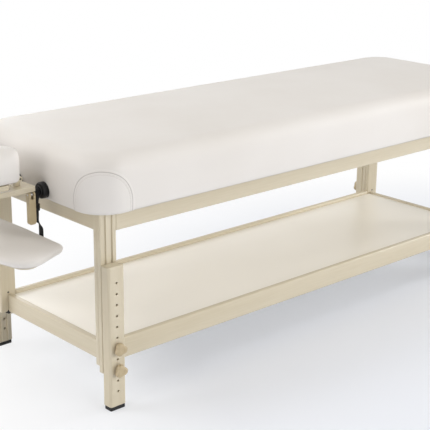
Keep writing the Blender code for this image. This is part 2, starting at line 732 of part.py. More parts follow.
def horseshoe_stations():
    """Centre, outward direction and fullness at each station along the padded horseshoe."""
    half = FACE_ARM_WIDE / 2
    reach = FACE_HALF_WIDE - half
    bend_x = -HEAD_REACH + FACE_HALF_WIDE
    tip_x = -FACE_TIP_X - half
    arm = []
    for k in range(TIP_STEPS - 1, 0, -1):
        angle = math.radians(90 * k / TIP_STEPS)
        arm.append((tip_x + half * math.sin(angle), math.cos(angle)))
    for k in range(ARM_STEPS):
        arm.append((tip_x + (bend_x - tip_x) * k / ARM_STEPS, 1))
    near = [(Vector((x, -reach)), Vector((0, -1)), full) for x, full in arm]
    far = [(Vector((x, reach)), Vector((0, 1)), full) for x, full in reversed(arm)]
    bend = []
    for k in range(BEND_STEPS + 1):
        angle = math.pi * k / BEND_STEPS
        out = Vector((-math.sin(angle), -math.cos(angle)))
        bend.append((Vector((bend_x, 0)) + out * reach, out, 1))
    return near + bend + far


def face_cushion(material, tilt):
    """Padded horseshoe: flat underneath, full at its sides and domed on top, with round ends."""
    half = FACE_ARM_WIDE / 2
    rings = []
    for centre, out, full in horseshoe_stations():
        ring = []
        for k in range(HORSESHOE_SIDES):
            angle = math.tau * k / HORSESHOE_SIDES
            c = math.cos(angle)
            s = math.sin(angle)
            place = centre + out * (half * full * math.copysign(abs(c) ** HORSESHOE_SIDE_share, c))
            if s > 0:
                rise = s**HORSESHOE_TOP_share * (TIP_HEIGHT_share + (1 - TIP_HEIGHT_share) * full)
            else:
                rise = -(abs(s) ** HORSESHOE_BASE_share)
            ring.append((place.x, place.y, FACE_LOW + FACE_HIGH * (1 + rise) / 2))
        rings.append(ring)
    made("face_cushion", skin(rings), material, tilt, True)


def cam_lever(material, cam):
    """Lever with a round head, which is forked for the bolt's eye, and a handle that hangs down to a round end."""
    half = LEVER_THICK / 2
    top = LEVER_PIN_Z + half
    low = top - LEVER_LONG
    side_view = [*arc((-LEVER_Y, LEVER_PIN_Z), half, 0, 180, ARC_STEPS), (-LEVER_Y - half, low), (-LEVER_Y + half, low)]
    shape = prism(side_view, -PIN_X - LEVER_WIDE / 2, -PIN_X + LEVER_WIDE / 2, "X")
    piece = made("cam_lever", shape, material, cam, True)
    wide = LEVER_WIDE / 2
    front_view = [
        *arc((-PIN_X, low + wide), wide, 180, 360, ARC_STEPS),
        (-PIN_X + wide, top + OVERRUN),
        (-PIN_X - wide, top + OVERRUN),
    ]
    around = prism(front_view, -LEVER_Y - half - OVERRUN, -LEVER_Y + half + OVERRUN, "Y")
    combine(piece, around, cam, "INTERSECT")
    low = (-PIN_X - LEVER_SLOT / 2, -LEVER_Y - LEVER_THICK, LEVER_PIN_Z - SLOT_BELOW_PIN)
    high = (-PIN_X + LEVER_SLOT / 2, -LEVER_Y + LEVER_THICK, LEVER_PIN_Z + LEVER_THICK)
    cut(piece, box(low, high), cam)
    reach = LEVER_WIDE / 2 + OVERRUN
    start = (-PIN_X - reach, -LEVER_Y, LEVER_PIN_Z)
    cut(piece, rod(start, (-PIN_X + reach, -LEVER_Y, LEVER_PIN_Z), CAM_PIN_RADIUS + FIT, SMALL_SIDES), cam)


def cam_bolt(material, cradle):
    """Eye bolt that the lever pulls. It runs out of the cross bar's near end."""
    start = (-PIN_X, -LEVER_Y + CAM_BOLT_LONG, LEVER_PIN_Z)
    shape = rod(start, (-PIN_X, -LEVER_Y, LEVER_PIN_Z), CAM_BOLT_RADIUS, SMALL_SIDES)
    piece = made("cam_bolt", shape, material, cradle, True)
    half = EYE_WIDE / 2
    ends = ((-PIN_X - half, -LEVER_Y, LEVER_PIN_Z), (-PIN_X + half, -LEVER_Y, LEVER_PIN_Z))
    join(piece, rod(*ends, EYE_RADIUS, SMALL_SIDES), cradle)
    reach = half + OVERRUN
    ends = ((-PIN_X - reach, -LEVER_Y, LEVER_PIN_Z), (-PIN_X + reach, -LEVER_Y, LEVER_PIN_Z))
    cut(piece, rod(*ends, CAM_PIN_RADIUS + FIT, SMALL_SIDES), cradle)


def cam_pin(material, cam):
    half = LEVER_WIDE / 2
    ends = ((-PIN_X - half, -LEVER_Y, LEVER_PIN_Z), (-PIN_X + half, -LEVER_Y, LEVER_PIN_Z))
    made("cam_pin", rod(*ends, CAM_PIN_RADIUS, SMALL_SIDES), material, cam, True)


def pad_outline(inset):
    """Plan of the arm rest: in each direction, the point of the disc that reaches furthest that way."""
    points = []
    for k in range(PAD_SIDES):
        out = Vector((math.cos(math.tau * k / PAD_SIDES), math.sin(math.tau * k / PAD_SIDES)))
        x, y, radius = max(PAD_DISCS, key=lambda disc: disc[0] * out.x + disc[1] * out.y + disc[2])
        points.append((x + (radius - inset) * out.x, y + (radius - inset) * out.y))
    return points


def arm_rest(board_finish, pad_finish, arm):
    shape = prism(pad_outline(PAD_BOARD_INSET), PAD_BOARD_LOW, PAD_BOARD_TOP)
    made("arm_rest_board", shape, board_finish, arm, True)
    shape = stuffed(pad_outline, -PAD_X, PAD_LOW, PAD_TOP, PAD_ROLL, PAD_TUCK, PAD_CROWN)
    made("arm_rest_pad", shape, pad_finish, arm, True)


def ribbon(stations):
    """A flat strap through stations of centre, direction across its width and direction through its thickness."""
    rings = []
    for centre, across, through in stations:
        u = across * STRAP_WIDE / 2
        v = through * STRAP_THICK / 2
        rings.append([centre + u + v, centre - u + v, centre - u - v, centre + u - v])
    return skin(rings)


def tab_stations(y, low):
    """A strap's last stations: its bend round the arm rest's rear edge, and its end under the board."""
    bend = Vector((1, 0, -1))
    return [
        (Vector((STRAP_BACK_X, y, low)), Vector((0, 1, 0)), bend),
        (Vector((STRAP_BACK_X - TAB_LONG, y, low)), Vector((0, 1, 0)), Vector((0, 0, -1))),
    ]


def near_rear_strap(material, cradle):
    """Strap sewn into a loop round the near rod. It hangs down, turns a quarter, and bends under the board."""
    y = -ROD_OFFSET
    stations = [(Vector((-LOOP_X, y, ROD_Z - SEW_DROP + OVERRUN)), Vector((1, 0, 0)), Vector((0, -1, 0)))]
    for k in range(TWIST_STEPS + 1):
        share = k / TWIST_STEPS
        eased = share * share * (3 - 2 * share)
        angle = math.radians(90) * eased
        centre = Vector((-LOOP_X + (STRAP_BACK_X + LOOP_X) * eased, y, ROD_Z - TWIST_DROP - TWIST_LONG * share))
        across = Vector((math.cos(angle), math.sin(angle), 0))
        stations.append((centre, across, Vector((math.sin(angle), -math.cos(angle), 0))))
    stations += tab_stations(y, TAB_TOP - STRAP_THICK / 2)
    piece = made("rear_strap_near", ribbon(stations), material, cradle)
    radius = ROD_RADIUS + FIT + STRAP_THICK
    lean = math.degrees(math.acos(radius / SEW_DROP))
    loop = [
        *arc((y, ROD_Z), radius, -90 + lean, 270 - lean, ROUND_SIDES),
        (y - STRAP_THICK / 2, ROD_Z - SEW_DROP),
        (y + STRAP_THICK / 2, ROD_Z - SEW_DROP),
    ]
    ends = (-LOOP_X - STRAP_WIDE / 2, -LOOP_X + STRAP_WIDE / 2)
    join(piece, prism(loop, *ends, "X"), cradle)
    start = (ends[0] - OVERRUN, y, ROD_Z)
    cut(piece, rod(start, (ends[1] + OVERRUN, y, ROD_Z), ROD_RADIUS + FIT), cradle)


def far_rear_strap(material, cradle):
    """Strap fixed under the base's far arm. It leans back and outward to the arm rest's rear edge."""
    top = BASE_LOW - FIT - STRAP_THICK / 2
    across = Vector((0, 1, 0))
    drop = Vector((STRAP_BACK_X + HINGE_X, 0, PAD_TOP - top)).normalized()
    lean = Vector((-drop.z, 0, drop.x))
    level = Vector((0, 0, 1))
    upright = Vector((1, 0, 0))
    stations = [
        (Vector((-HINGE_X - TAB_LONG, FRONT_STRAP_Y, top)), across, level),
        (Vector((-HINGE_X, FRONT_STRAP_Y, top)), across, (level + lean) / (1 + level.dot(lean))),
        (Vector((STRAP_BACK_X, FAR_STRAP_Y, PAD_TOP)), across, (lean + upright) / (1 + lean.dot(upright))),
        *tab_stations(FAR_STRAP_Y, TAB_TOP - STRAP_THICK / 2),
    ]
    made("rear_strap_far", ribbon(stations), material, cradle)


def front_strap(side, flank, material, cradle):
    """Strap from the underside of a base arm to the underside of the arm rest's board, in front of the pad."""
    front = -PAD_BACK_X - PAD_DEEP - FIT - FIT
    outer = front - STRAP_THICK
    top = BASE_LOW - FIT
    side_view = [
        (outer, top),
        (outer, TAB_TOP - STRAP_THICK),
        (outer + TAB_LONG, TAB_TOP - STRAP_THICK),
        (outer + TAB_LONG, TAB_TOP),
        (front, TAB_TOP),
        (front, top - STRAP_THICK),
        (outer + TAB_LONG, top - STRAP_THICK),
        (outer + TAB_LONG, top),
    ]
    middle = side * FRONT_STRAP_Y
    shape = prism(side_view, middle - STRAP_WIDE / 2, middle + STRAP_WIDE / 2, "Y")
    made(f"front_strap_{flank}", shape, material, cradle)


def slider_buckle(material, cradle):
    """Ladder-lock buckle on the near rear strap, where the strap still lies along the table."""
    y = -ROD_OFFSET
    half_x = STRAP_WIDE / 2 + FIT + BUCKLE_WALL
    half_y = STRAP_THICK / 2 + FIT + BUCKLE_WALL
    top = ROD_Z - BUCKLE_DROP
    low = (-LOOP_X - half_x, y - half_y, top - BUCKLE_HIGH)
    piece = made("buckle_near", box(low, (-LOOP_X + half_x, y + half_y, top), EDGE), material, cradle)
    half_x -= BUCKLE_WALL
    half_y -= BUCKLE_WALL
    low = (-LOOP_X - half_x, y - half_y, top - BUCKLE_HIGH - OVERRUN)
    cut(piece, box(low, (-LOOP_X + half_x, y + half_y, top + OVERRUN)), cradle)


def legs(cream, tan, rubber, steel, frame):
    for side_x, end in HEAD_FOOT:
        for side_y, flank in NEAR_FAR:
            where = f"{end}_{flank}"
            quarter = (side_x, side_y)
            post(*quarter, where, cream, frame)
            sleeve_nut(*quarter, where, steel, frame)
            leg = Body(f"leg_{where}", (side_x * POST_X, side_y * LEG_Y, 0), frame)
            leg_extension(*quarter, where, cream, leg)
            foot(*quarter, where, rubber, leg)
            for level, hole in (("upper", UPPER_KNOB_HOLE), ("lower", LOWER_KNOB_HOLE)):
                name = f"{level}_knob_{where}"
                seat = (side_x * POST_X, side_y * LEG_Y, knob_height(hole))
                knob(name, *quarter, hole, tan, Body(f"{name}_axis", seat, frame))


def face_cradle(cream, vinyl, black, webbing, steel, bright, beige, frame):
    cradle = Body("cradle", (-HALF_LENGTH, 0, ROD_Z), frame)
    cross_bar(cream, cradle)
    base_frame(cream, cradle)
    hinge_pin(steel, cradle)
    cam_bolt(bright, cradle)
    tilt = Body("tilt", (-HINGE_X, 0, PIN_Z), cradle)
    tilt_platform(cream, tilt)
    face_cushion(vinyl, tilt)
    cam = Body("cam", (-PIN_X, -LEVER_Y, LEVER_PIN_Z), cradle)
    cam_lever(beige, cam)
    cam_pin(bright, cam)
    arm_rest(cream, vinyl, Body("arm", (-PAD_X, 0, PAD_BOARD_LOW), cradle))
    for side, flank in NEAR_FAR:
        cradle_rod(side, flank, bright, cradle)
        front_strap(side, flank, webbing, cradle)
    near_rear_strap(webbing, cradle)
    far_rear_strap(webbing, cradle)
    slider_buckle(black, cradle)


def main():
    for old in list(bpy.data.objects):
        bpy.data.objects.remove(old, do_unlink=True)
    vinyl = finish("vinyl", (0.77, 0.74, 0.70), 0.42)
    cream = finish("cream_lacquer", (0.76, 0.70, 0.56), 0.35)
    laminate = finish("shelf_laminate", (0.78, 0.74, 0.65), 0.38)
    tan = finish("tan_plastic", (0.56, 0.43, 0.27), 0.40)
    beige = finish("beige_plastic", (0.40, 0.31, 0.18), 0.45)
    rubber = finish("black_rubber", (0.012, 0.012, 0.013), 0.70)
    black = finish("black_plastic", (0.010, 0.010, 0.012), 0.35)
    webbing = finish("black_webbing", (0.008, 0.008, 0.009), 0.85)
    steel = finish("dark_steel", (0.06, 0.06, 0.065), 0.45, 0.9)
    bright = finish("bright_steel", (0.52, 0.52, 0.54), 0.28, 1)
    frame = Body("frame", (0, 0, 0))
    top_cushion(vinyl, frame)
    deck_board(cream, frame)
    top_rails(cream, frame)
    shelf(laminate, cream, frame)
    legs(cream, tan, rubber, steel, frame)
    for side, flank in NEAR_FAR:
        rod_sleeve(side, flank, black, frame)
    face_cradle(cream, vinyl, black, webbing, steel, bright, beige, frame)


if __name__ == "__main__":
    main()
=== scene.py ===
"""Looks of a massage table, in metres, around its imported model: the studio first, then piece by piece."""

import math

import bmesh
import bpy
import numpy as np
from mathutils import Matrix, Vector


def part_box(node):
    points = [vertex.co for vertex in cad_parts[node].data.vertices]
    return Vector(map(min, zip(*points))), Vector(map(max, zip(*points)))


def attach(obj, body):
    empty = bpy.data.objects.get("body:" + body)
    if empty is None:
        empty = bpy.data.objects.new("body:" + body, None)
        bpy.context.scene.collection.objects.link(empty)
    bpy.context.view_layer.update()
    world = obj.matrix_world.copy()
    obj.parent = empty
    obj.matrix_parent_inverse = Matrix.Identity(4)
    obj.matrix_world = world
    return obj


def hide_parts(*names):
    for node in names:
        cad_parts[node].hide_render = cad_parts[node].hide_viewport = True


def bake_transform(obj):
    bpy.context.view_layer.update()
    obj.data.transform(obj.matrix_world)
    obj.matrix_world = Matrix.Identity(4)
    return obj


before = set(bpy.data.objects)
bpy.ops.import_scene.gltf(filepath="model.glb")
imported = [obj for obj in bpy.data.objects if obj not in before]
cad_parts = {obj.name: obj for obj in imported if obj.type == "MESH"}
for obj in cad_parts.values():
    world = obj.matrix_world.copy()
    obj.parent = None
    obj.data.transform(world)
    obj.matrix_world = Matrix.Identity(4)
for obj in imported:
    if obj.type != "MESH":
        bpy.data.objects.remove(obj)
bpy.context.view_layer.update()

# The studio. The camera stands left of the head end, a little above the top, and looks along the table.
# Large soft boxes stand all round, strongest at the back left and the front right, over a white floor.
PHOTO_SIDE = 430
FOCAL_LENGTH_PIXELS = 1144.05
SENSOR = 36
CAMERA_PLACE = (-2.4843, -2.6796, 1.5341)
CAMERA_TURN = math.radians(-42.5047)
CAMERA_DIP = math.radians(17.7067)
CAMERA_ROLL = math.radians(0.6068)
FLOOR_HALF = 14
FLOOR_COLOUR = (0.845, 0.88, 0.955, 1)
FLOOR_ROUGHNESS = 0.6
FLOOR_GLOW = 0.15
FLOOR_FADE_MIDDLE = (0.75, -0.85, 0.0)
FLOOR_FADE_START = 1.25
FLOOR_FADE_LONG = 0.75
FLOOR_FADE_EASE = 0.2
WHITE = (1, 1, 1, 1)
ROOM_LIGHT = 0.04
ROOM_COLOUR = (1.0, 0.84, 0.64, 1)
LAMPS = (
    ("front_softbox", (0.5, -4.6, 1.9), (3.4, 2.0), 94, (1.0, 0.99, 0.98)),
    ("front_right_softbox", (6.2, -3.0, 2.1), (3.4, 2.4), 250, (1.0, 0.99, 0.98)),
    ("left_back_softbox", (-4.2, 3.4, 2.8), (4.6, 3.8), 182, (1.0, 0.985, 0.98)),
    ("left_softbox", (-5.2, -1.4, 2.4), (3.0, 2.2), 80, (1.0, 0.97, 0.94)),
    ("back_softbox", (0.8, 5.2, 2.6), (3.4, 2.0), 72, (0.98, 0.99, 1.0)),
    ("overhead_softbox", (0.2, 0.0, 4.2), (4.6, 3.0), 72, (1.0, 1.0, 1.0)),
)
LAMP_AIM = (0.1, 0.0, 0.45)


class Signal:
    """A socket that shader maths is written on: each operator adds the Math node that it stands for."""

    def __init__(self, nodes, socket):
        self.nodes = nodes
        self.socket = socket

    def maths(self, operation, *others):
        """What a Math node makes of this signal and others."""
        return self.nodes.node("Math", {"operation": operation}, dict(enumerate((self, *others))))

    def __add__(self, other):
        return self.maths("ADD", other)

    def __mul__(self, other):
        return self.maths("MULTIPLY", other)

    def __sub__(self, other):
        return self.maths("SUBTRACT", other)

    def __rsub__(self, other):
        return self * -1 + other

    __radd__ = __add__
    __rmul__ = __mul__


class Nodes:
    """A node tree that grows by one method, from a node's type, its settings and what its sockets take."""

    def __init__(self, tree):
        self.tree = tree

    def node(self, kind, settings, sockets, output=0):
        """A new node's output, as a signal."""
        made = self.tree.nodes.new("ShaderNode" + kind)
        for key, value in settings.items():
            setattr(made, key, value)
        self.connect(made, sockets)
        return Signal(self, made.outputs[output])

    def connect(self, node, sockets):
        """Links each socket to its signal, or sets its value."""
        for key, value in sockets.items():
            if isinstance(value, Signal):
                self.tree.links.new(value.socket, node.inputs[key])
            else:
                node.inputs[key].default_value = value

    def seen_directly(self):
        """One for rays from the camera, a mirror or a clear surface, zero for rays that light the object."""
        ways = ("Camera", "Glossy", "Transmission")
        camera, mirror, clear = (self.node("LightPath", {}, {}, f"Is {way} Ray") for way in ways)
        return camera.maths("MAXIMUM", mirror.maths("MAXIMUM", clear))


def unit(vectors):
    """Vectors scaled to a length of one."""
    return vectors / np.linalg.norm(vectors, axis=-1, keepdims=True)


def turned_matrix(right, up, back):
    """The turn that lays the X, Y and Z axes along three directions."""
    return Matrix(np.stack([right, up, back], 1).tolist()).to_4x4()


def added(name, data):
    """A new object in the scene."""
    thing = bpy.data.objects.new(name, data)
    bpy.context.scene.collection.objects.link(thing)
    return thing


def place_camera():
    """A camera that looks along its -Z axis: turned to its heading, dipped, and rolled a little."""
    level = np.array([math.cos(CAMERA_TURN), math.sin(CAMERA_TURN), 0])
    ahead = np.cross((0, 0, math.cos(CAMERA_DIP)), level) - (0, 0, math.sin(CAMERA_DIP))
    upright = np.cross(level, ahead)
    right = level * math.cos(CAMERA_ROLL) + upright * math.sin(CAMERA_ROLL)
    view = bpy.data.cameras.new("camera")
    view.sensor_width = SENSOR
    view.lens = FOCAL_LENGTH_PIXELS / PHOTO_SIDE * SENSOR
    camera = added("camera", view)
    turn = turned_matrix(right, np.cross(right, ahead), -ahead)
    camera.matrix_world = Matrix.Translation(CAMERA_PLACE) @ turn
    bpy.context.scene.camera = camera


def place_lamps():
    """Soft boxes. A lamp's -Z axis points from its place to what all lamps aim at."""
    for name, place, size, power, colour in LAMPS:
        light = bpy.data.lights.new(name, "AREA")
        light.shape = "RECTANGLE"
        light.size, light.size_y = size
        light.energy = power
        light.color = colour
        back = unit(np.array(place, float) - LAMP_AIM)
        side = unit(np.cross((0, 0, 1), back))
        turn = turned_matrix(side, np.cross(back, side), back)
        added(name, light).matrix_world = Matrix.Translation(place) @ turn


def light_room():
    """A world that looks white, and lights the object only with a dim, warm glow."""
    world = bpy.data.worlds.new("studio_room")
    bpy.context.scene.world = world
    world.use_nodes = True
    room = Nodes(world.node_tree)
    dim = room.node("Background", {}, {"Color": ROOM_COLOUR, "Strength": ROOM_LIGHT})
    white = room.node("Background", {}, {"Color": WHITE, "Strength": 1})
    shown = room.node("MixShader", {}, {0: room.seen_directly(), 1: dim, 2: white})
    room.connect(world.node_tree.nodes["World Output"], {"Surface": shown})


def lay_floor():
    """White paper that takes shadows. What is seen of it fades to plain white with the distance from a
    middle, by a smooth minimum of a straight rise and one."""
    corners = [(x * FLOOR_HALF, y * FLOOR_HALF, 0) for x, y in ((-1, -1), (1, -1), (1, 1), (-1, 1))]
    plane = bpy.data.meshes.new("floor")
    plane.from_pydata(corners, [], [(0, 1, 2, 3)])
    sweep = bpy.data.materials.new("white_sweep")
    sweep.use_nodes = True
    paper = Nodes(sweep.node_tree)
    matt = sweep.node_tree.nodes["Principled BSDF"]
    paper.connect(matt, {"Base Color": FLOOR_COLOUR, "Roughness": FLOOR_ROUGHNESS})
    place = paper.node("TexCoord", {}, {}, "Object")
    away = paper.node("VectorMath", {"operation": "DISTANCE"}, {0: place, 1: FLOOR_FADE_MIDDLE}, "Value")
    fade = (away - FLOOR_FADE_START) * (1 / FLOOR_FADE_LONG)
    fade = fade.maths("SMOOTH_MIN", 1, FLOOR_FADE_EASE).maths("MAXIMUM", 0)
    fade = (fade * (1 - FLOOR_GLOW) + FLOOR_GLOW) * paper.seen_directly()
    glow = paper.node("Emission", {}, {"Color": WHITE, "Strength": 1})
    shown = paper.node("MixShader", {}, {0: fade, 1: Signal(paper, matt.outputs[0]), 2: glow})
    paper.connect(sweep.node_tree.nodes["Material Output"], {"Surface": shown})
    plane.materials.append(sweep)
    added("floor", plane)


place_camera()
place_lamps()
light_room()
lay_floor()
bpy.context.scene.view_settings.view_transform = "Standard"

# The top cushion: a board under firm foam, all in one satin vinyl cover, pulled round and stapled below.
# Its top edge is rolled, its bottom edge drawn in, and the foam gives a slight crown and soft unevenness.
PLAN_CORNER = 0.095
CORNER_KEEP = 0.5
BOTTOM_ROUND = 0.0125
BELLY_HIGH = 0.05
BELLY_DEEP = 0.003
TOP_ROLL = 0.062
TOP_ROLL_POWER = 2.3
TOP_CROWN = 0.005
TOP_RINGS = 26
UNDER_LIP = 0.050
UNDER_RINGS = 6
LIP_STEPS = 5
BOTTOM_STEPS = 9
FLANK_STEPS = 15
ROLL_STEPS = 15
UNEVEN = 0.0007
UNEVEN_TOP_POWER = 4
UNEVEN_SIDE_POWER = 12
UNEVEN_SIDE_START = 0.75
# How high the painted contact shade at the cover's foot reaches, and how dark it is.
COVER_SHADE_HIGH = 0.0055
COVER_SHADE_DARK = 0.7
ALONG_STEP = 0.014
HEAD_STEP = 0.006
CORNER_STEPS = 36
FLANGE_RADIUS = 0.024
FLANGE_PRESS = 0.003
FLANGE_PRESS_WIDE = 0.014
VINYL_PALE = (0.765, 0.738, 0.704, 1)
VINYL_DEEP = (0.735, 0.704, 0.664, 1)
# The dark colour of the seams' folds, and of painted shade along the feet of the cushion and the pads.
VINYL_SEAM_AND_SHADE = (0.30, 0.255, 0.24, 1)
SEAM_AND_SHADE_SHARE = 0.85
MERGE = 0.00002

# Each wave of the foam: radians a metre along x, y and z, where it starts, and how tall it is.
UNEVEN_WAVES = ((5.1, 9.0, 0, 0.6, 1), (-8.3, 6.2, 21, 0, 1), (14.9, 0, 17, 1.9, 0.7))


class Finish(Nodes):
    """A procedural material and its slot: a Principled shader, with what is the same all over set on it."""

    def __init__(self, name, slot=None, **steady):
        self.material = bpy.data.materials.new(name)
        self.slot = slot or name
        self.material.use_nodes = True
        super().__init__(self.material.node_tree)
        self.feed(steady)
        self.place = self.node("TexCoord", {}, {}, "Object")

    def feed(self, values):
        """Sets or links the shader's sockets, whose names are written with underscores here."""
        shader = self.tree.nodes["Principled BSDF"]
        self.connect(shader, {socket.replace("_", " "): value for socket, value in values.items()})

    def drawn_out(self, along, scale):
        """Object coordinates that change little along one axis, which draws a pattern out along it."""
        scales = [scale if axis == along else 1.0 for axis in "XYZ"]
        return self.node("Mapping", {}, {"Vector": self.place, "Scale": scales})

    def field(self, name, output="Fac"):
        """What a piece's mesh holds at each point under a name, or zero if it holds no such thing."""
        return self.node("Attribute", {"attribute_name": name}, {}, output)

    def noise(self, scale, detail=2, place=None, distortion=0):
        """Smooth random values over the surface, finer where the scale is larger."""
        sockets = {"Vector": place or self.place, "Scale": scale, "Detail": detail, "Distortion": distortion}
        return self.node("TexNoise", {}, sockets)

    def between(self, share, first, second):
        """A colour between two others."""
        return self.node("Mix", {"data_type": "RGBA"}, {0: share, 6: first, 7: second}, 2)

    def ranged(self, value, first, last, low=0.3, high=0.7):
        """A value that runs from low to high, made to run from first to last."""
        sockets = {"Value": value, "From Min": low, "From Max": high, "To Min": first, "To Max": last}
        return self.node("MapRange", {}, sockets)

    def bumped(self, height, distance, strength=1, under=None):
        """A surface direction tilted by the slope of a height, over another such direction or none."""
        sockets = {"Height": height, "Distance": distance, "Strength": strength}
        if under:
            sockets["Normal"] = under
        return self.node("Bump", {}, sockets)

    def finish(self, **varying):
        """Feeds what changes over the surface into the shader, and gives the material and its slot."""
        self.feed(varying)
        return self.material, self.slot


def vinyl():
    """Soft upholstery vinyl: pebble grain under a satin topcoat, a little uneven in tone and gloss."""
    skin = Finish("vinyl", IOR=1.48, Coat_Roughness=0.35, Specular_IOR_Level=0.15)
    pebble = skin.node("TexVoronoi", {"feature": "SMOOTH_F1"}, {"Vector": skin.place, "Scale": 620})
    tone = skin.ranged(skin.noise(2.6), 0, 1, 0.35, 0.65)
    gloss = skin.noise(38, 3)
    plain = skin.between(tone, VINYL_PALE, VINYL_DEEP)
    return skin.finish(
        # Painted shade: a field pulls the vinyl towards the dark colour at the patches' seams, and along the
        # feet of the cushion and the pads where contact shade falls.
        Base_Color=skin.between(skin.field("seam") * SEAM_AND_SHADE_SHARE, plain, VINYL_SEAM_AND_SHADE),
        Roughness=skin.ranged(gloss, 0.48, 0.58),
        Coat_Weight=skin.ranged(gloss, 0.03, 0.06),
        Normal=skin.bumped(pebble * 0.8 + skin.noise(1500, 3) * 0.35, 0.00022, 0.5),
    )


def box(node):
    """The low and the high corner of a CAD node."""
    return np.array(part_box(node))


def turns(count):
    """Evenly spaced angles of one full turn."""
    return np.arange(count) * math.tau / count


def run_along(points):
    """How far along a line each of its points lies."""
    return np.concatenate([[0], np.cumsum(np.linalg.norm(np.diff(points, axis=0), axis=1))])


def sheet_of(points, ends="flat"):
    """Faces of a grid of points, rows by columns, whose columns close on themselves. The two ends are flat
    faces, or come to a point, or the rows close on themselves too."""
    rows, columns = points.shape[:2]
    index = np.arange(rows * columns).reshape(rows, columns)
    if ends == "ring":
        index = np.concatenate([index, index[:1]], 0)
    ahead = np.roll(index, -1, 1)
    quads = np.stack([index[:-1], ahead[:-1], ahead[1:], index[1:]], -1).reshape(-1, 4).tolist()
    if ends == "flat":
        quads.append(index[0][::-1].tolist())
        quads.append(index[-1].tolist())
    return points.reshape(-1, 3), quads


def outward_mesh(name, surface, merge=0, fields=()):
    """A mesh of a closed surface, with its faces turned outwards. Each field gives a number or a vector for
    each point, and points that lie closer than the merge distance become one."""
    points, faces = surface
    mesh = bpy.data.meshes.new(name)
    mesh.from_pydata(points.tolist(), [], faces)
    for field, values in dict(fields).items():
        kind, key = ("FLOAT_VECTOR", "vector") if np.ndim(values) == 2 else ("FLOAT", "value")
        layer = mesh.attributes.new(field, kind, "POINT")
        layer.data.foreach_set(key, np.ravel(values).astype(np.float32))
    shape = bmesh.new()
    shape.from_mesh(mesh)
    if merge:
        bmesh.ops.remove_doubles(shape, verts=shape.verts, dist=merge)
    bmesh.ops.recalc_face_normals(shape, faces=shape.faces)
    shape.to_mesh(mesh)
    shape.free()
    return mesh


def make(name, surface, finish, *nodes, body="table_frame", sharp=42, **fields):
    """Turns a closed surface into a piece that rides on a body and stands for the named nodes."""
    mesh = outward_mesh(name, surface, MERGE, fields)
    mesh.shade_smooth()
    mesh.set_sharp_from_angle(angle=math.radians(sharp))
    material, slot = finish
    mesh.materials.append(material)
    piece = added(name, mesh)
    if body:
        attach(piece, body)
    if nodes:
        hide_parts(*nodes)
    return piece


cushion_low, cushion_high = box("top_cushion")
cushion_middle = (cushion_low + cushion_high) / 2
half_long, half_wide = ((cushion_high - cushion_low) / 2)[:2]
flat_long = half_long - PLAN_CORNER
flat_wide = half_wide - PLAN_CORNER
quarter = math.pi / 2 * PLAN_CORNER
flange_places = [box(f"rod_sleeve_{side}").mean(0) for side in ("near", "far")]

# Stations round the plan, from the middle of the head end, and what they mean: the turn of the outward
# direction, and the place between the corners' centres.
ROUND_TURNS = (180, 180, 270, 270, 360, 360, 450, 450, 540, 540)
ROUND_X = (-1, -1, -1, 1, 1, 1, 1, -1, -1, -1)
ROUND_Y = (0, -1, -1, -1, -1, 1, 1, 1, 1, 0)
round_runs = [flat_wide, quarter, 2 * flat_long, quarter, 2 * flat_wide]
round_runs += [quarter, 2 * flat_long, quarter, flat_wide]
round_stations = np.cumsum((0, *round_runs))


def side_profile():
    """Inset and height up the cushion's flank: in along the underside's lip, round the bottom edge, up a
    flank that swells to full width, and over the rolled top edge."""
    low, high = cushion_low[2], cushion_high[2] - TOP_CROWN
    lip_x = np.linspace(UNDER_LIP, BOTTOM_ROUND + BELLY_DEEP, LIP_STEPS + 1)[:-1]
    lip = np.stack([lip_x, np.full(LIP_STEPS, low)], 1)
    turn = np.radians(np.linspace(0, 90, BOTTOM_STEPS + 1))
    bottom_x = BOTTOM_ROUND * (1 - np.sin(turn)) + BELLY_DEEP
    bottom = np.stack([bottom_x, low + BOTTOM_ROUND * (1 - np.cos(turn))], 1)
    level = np.linspace(low + BOTTOM_ROUND, high - TOP_ROLL, FLANK_STEPS + 1)[1:-1]
    swell = np.clip((level - low - BOTTOM_ROUND) / BELLY_HIGH, 0, 1)
    flank = np.stack([BELLY_DEEP * (1 - swell) ** 2, level], 1)
    turn = np.radians(np.linspace(0, 90, ROLL_STEPS + 1))
    bend = np.stack([np.cos(turn), np.sin(turn)], 1) ** (2 / TOP_ROLL_POWER)
    roll = np.array([0, high]) + TOP_ROLL * (1 - bend) * (1, -1)
    return np.concatenate([lip, bottom, flank, roll])


profile = side_profile()
profile_run = run_along(profile)


def plan_point(station, inset):
    """A point of the plan. It stands off a corner's centre, or off the line between two, by the corner's
    radius there."""
    station = np.mod(station, round_stations[-1])
    turn = np.radians(np.interp(station, round_stations, ROUND_TURNS))
    radius = PLAN_CORNER - inset * CORNER_KEEP
    x = np.interp(station, round_stations, ROUND_X) * (half_long - inset - radius) + np.cos(turn) * radius
    y = np.interp(station, round_stations, ROUND_Y) * (half_wide - inset - radius) + np.sin(turn) * radius
    return x + cushion_middle[0], y + cushion_middle[1]


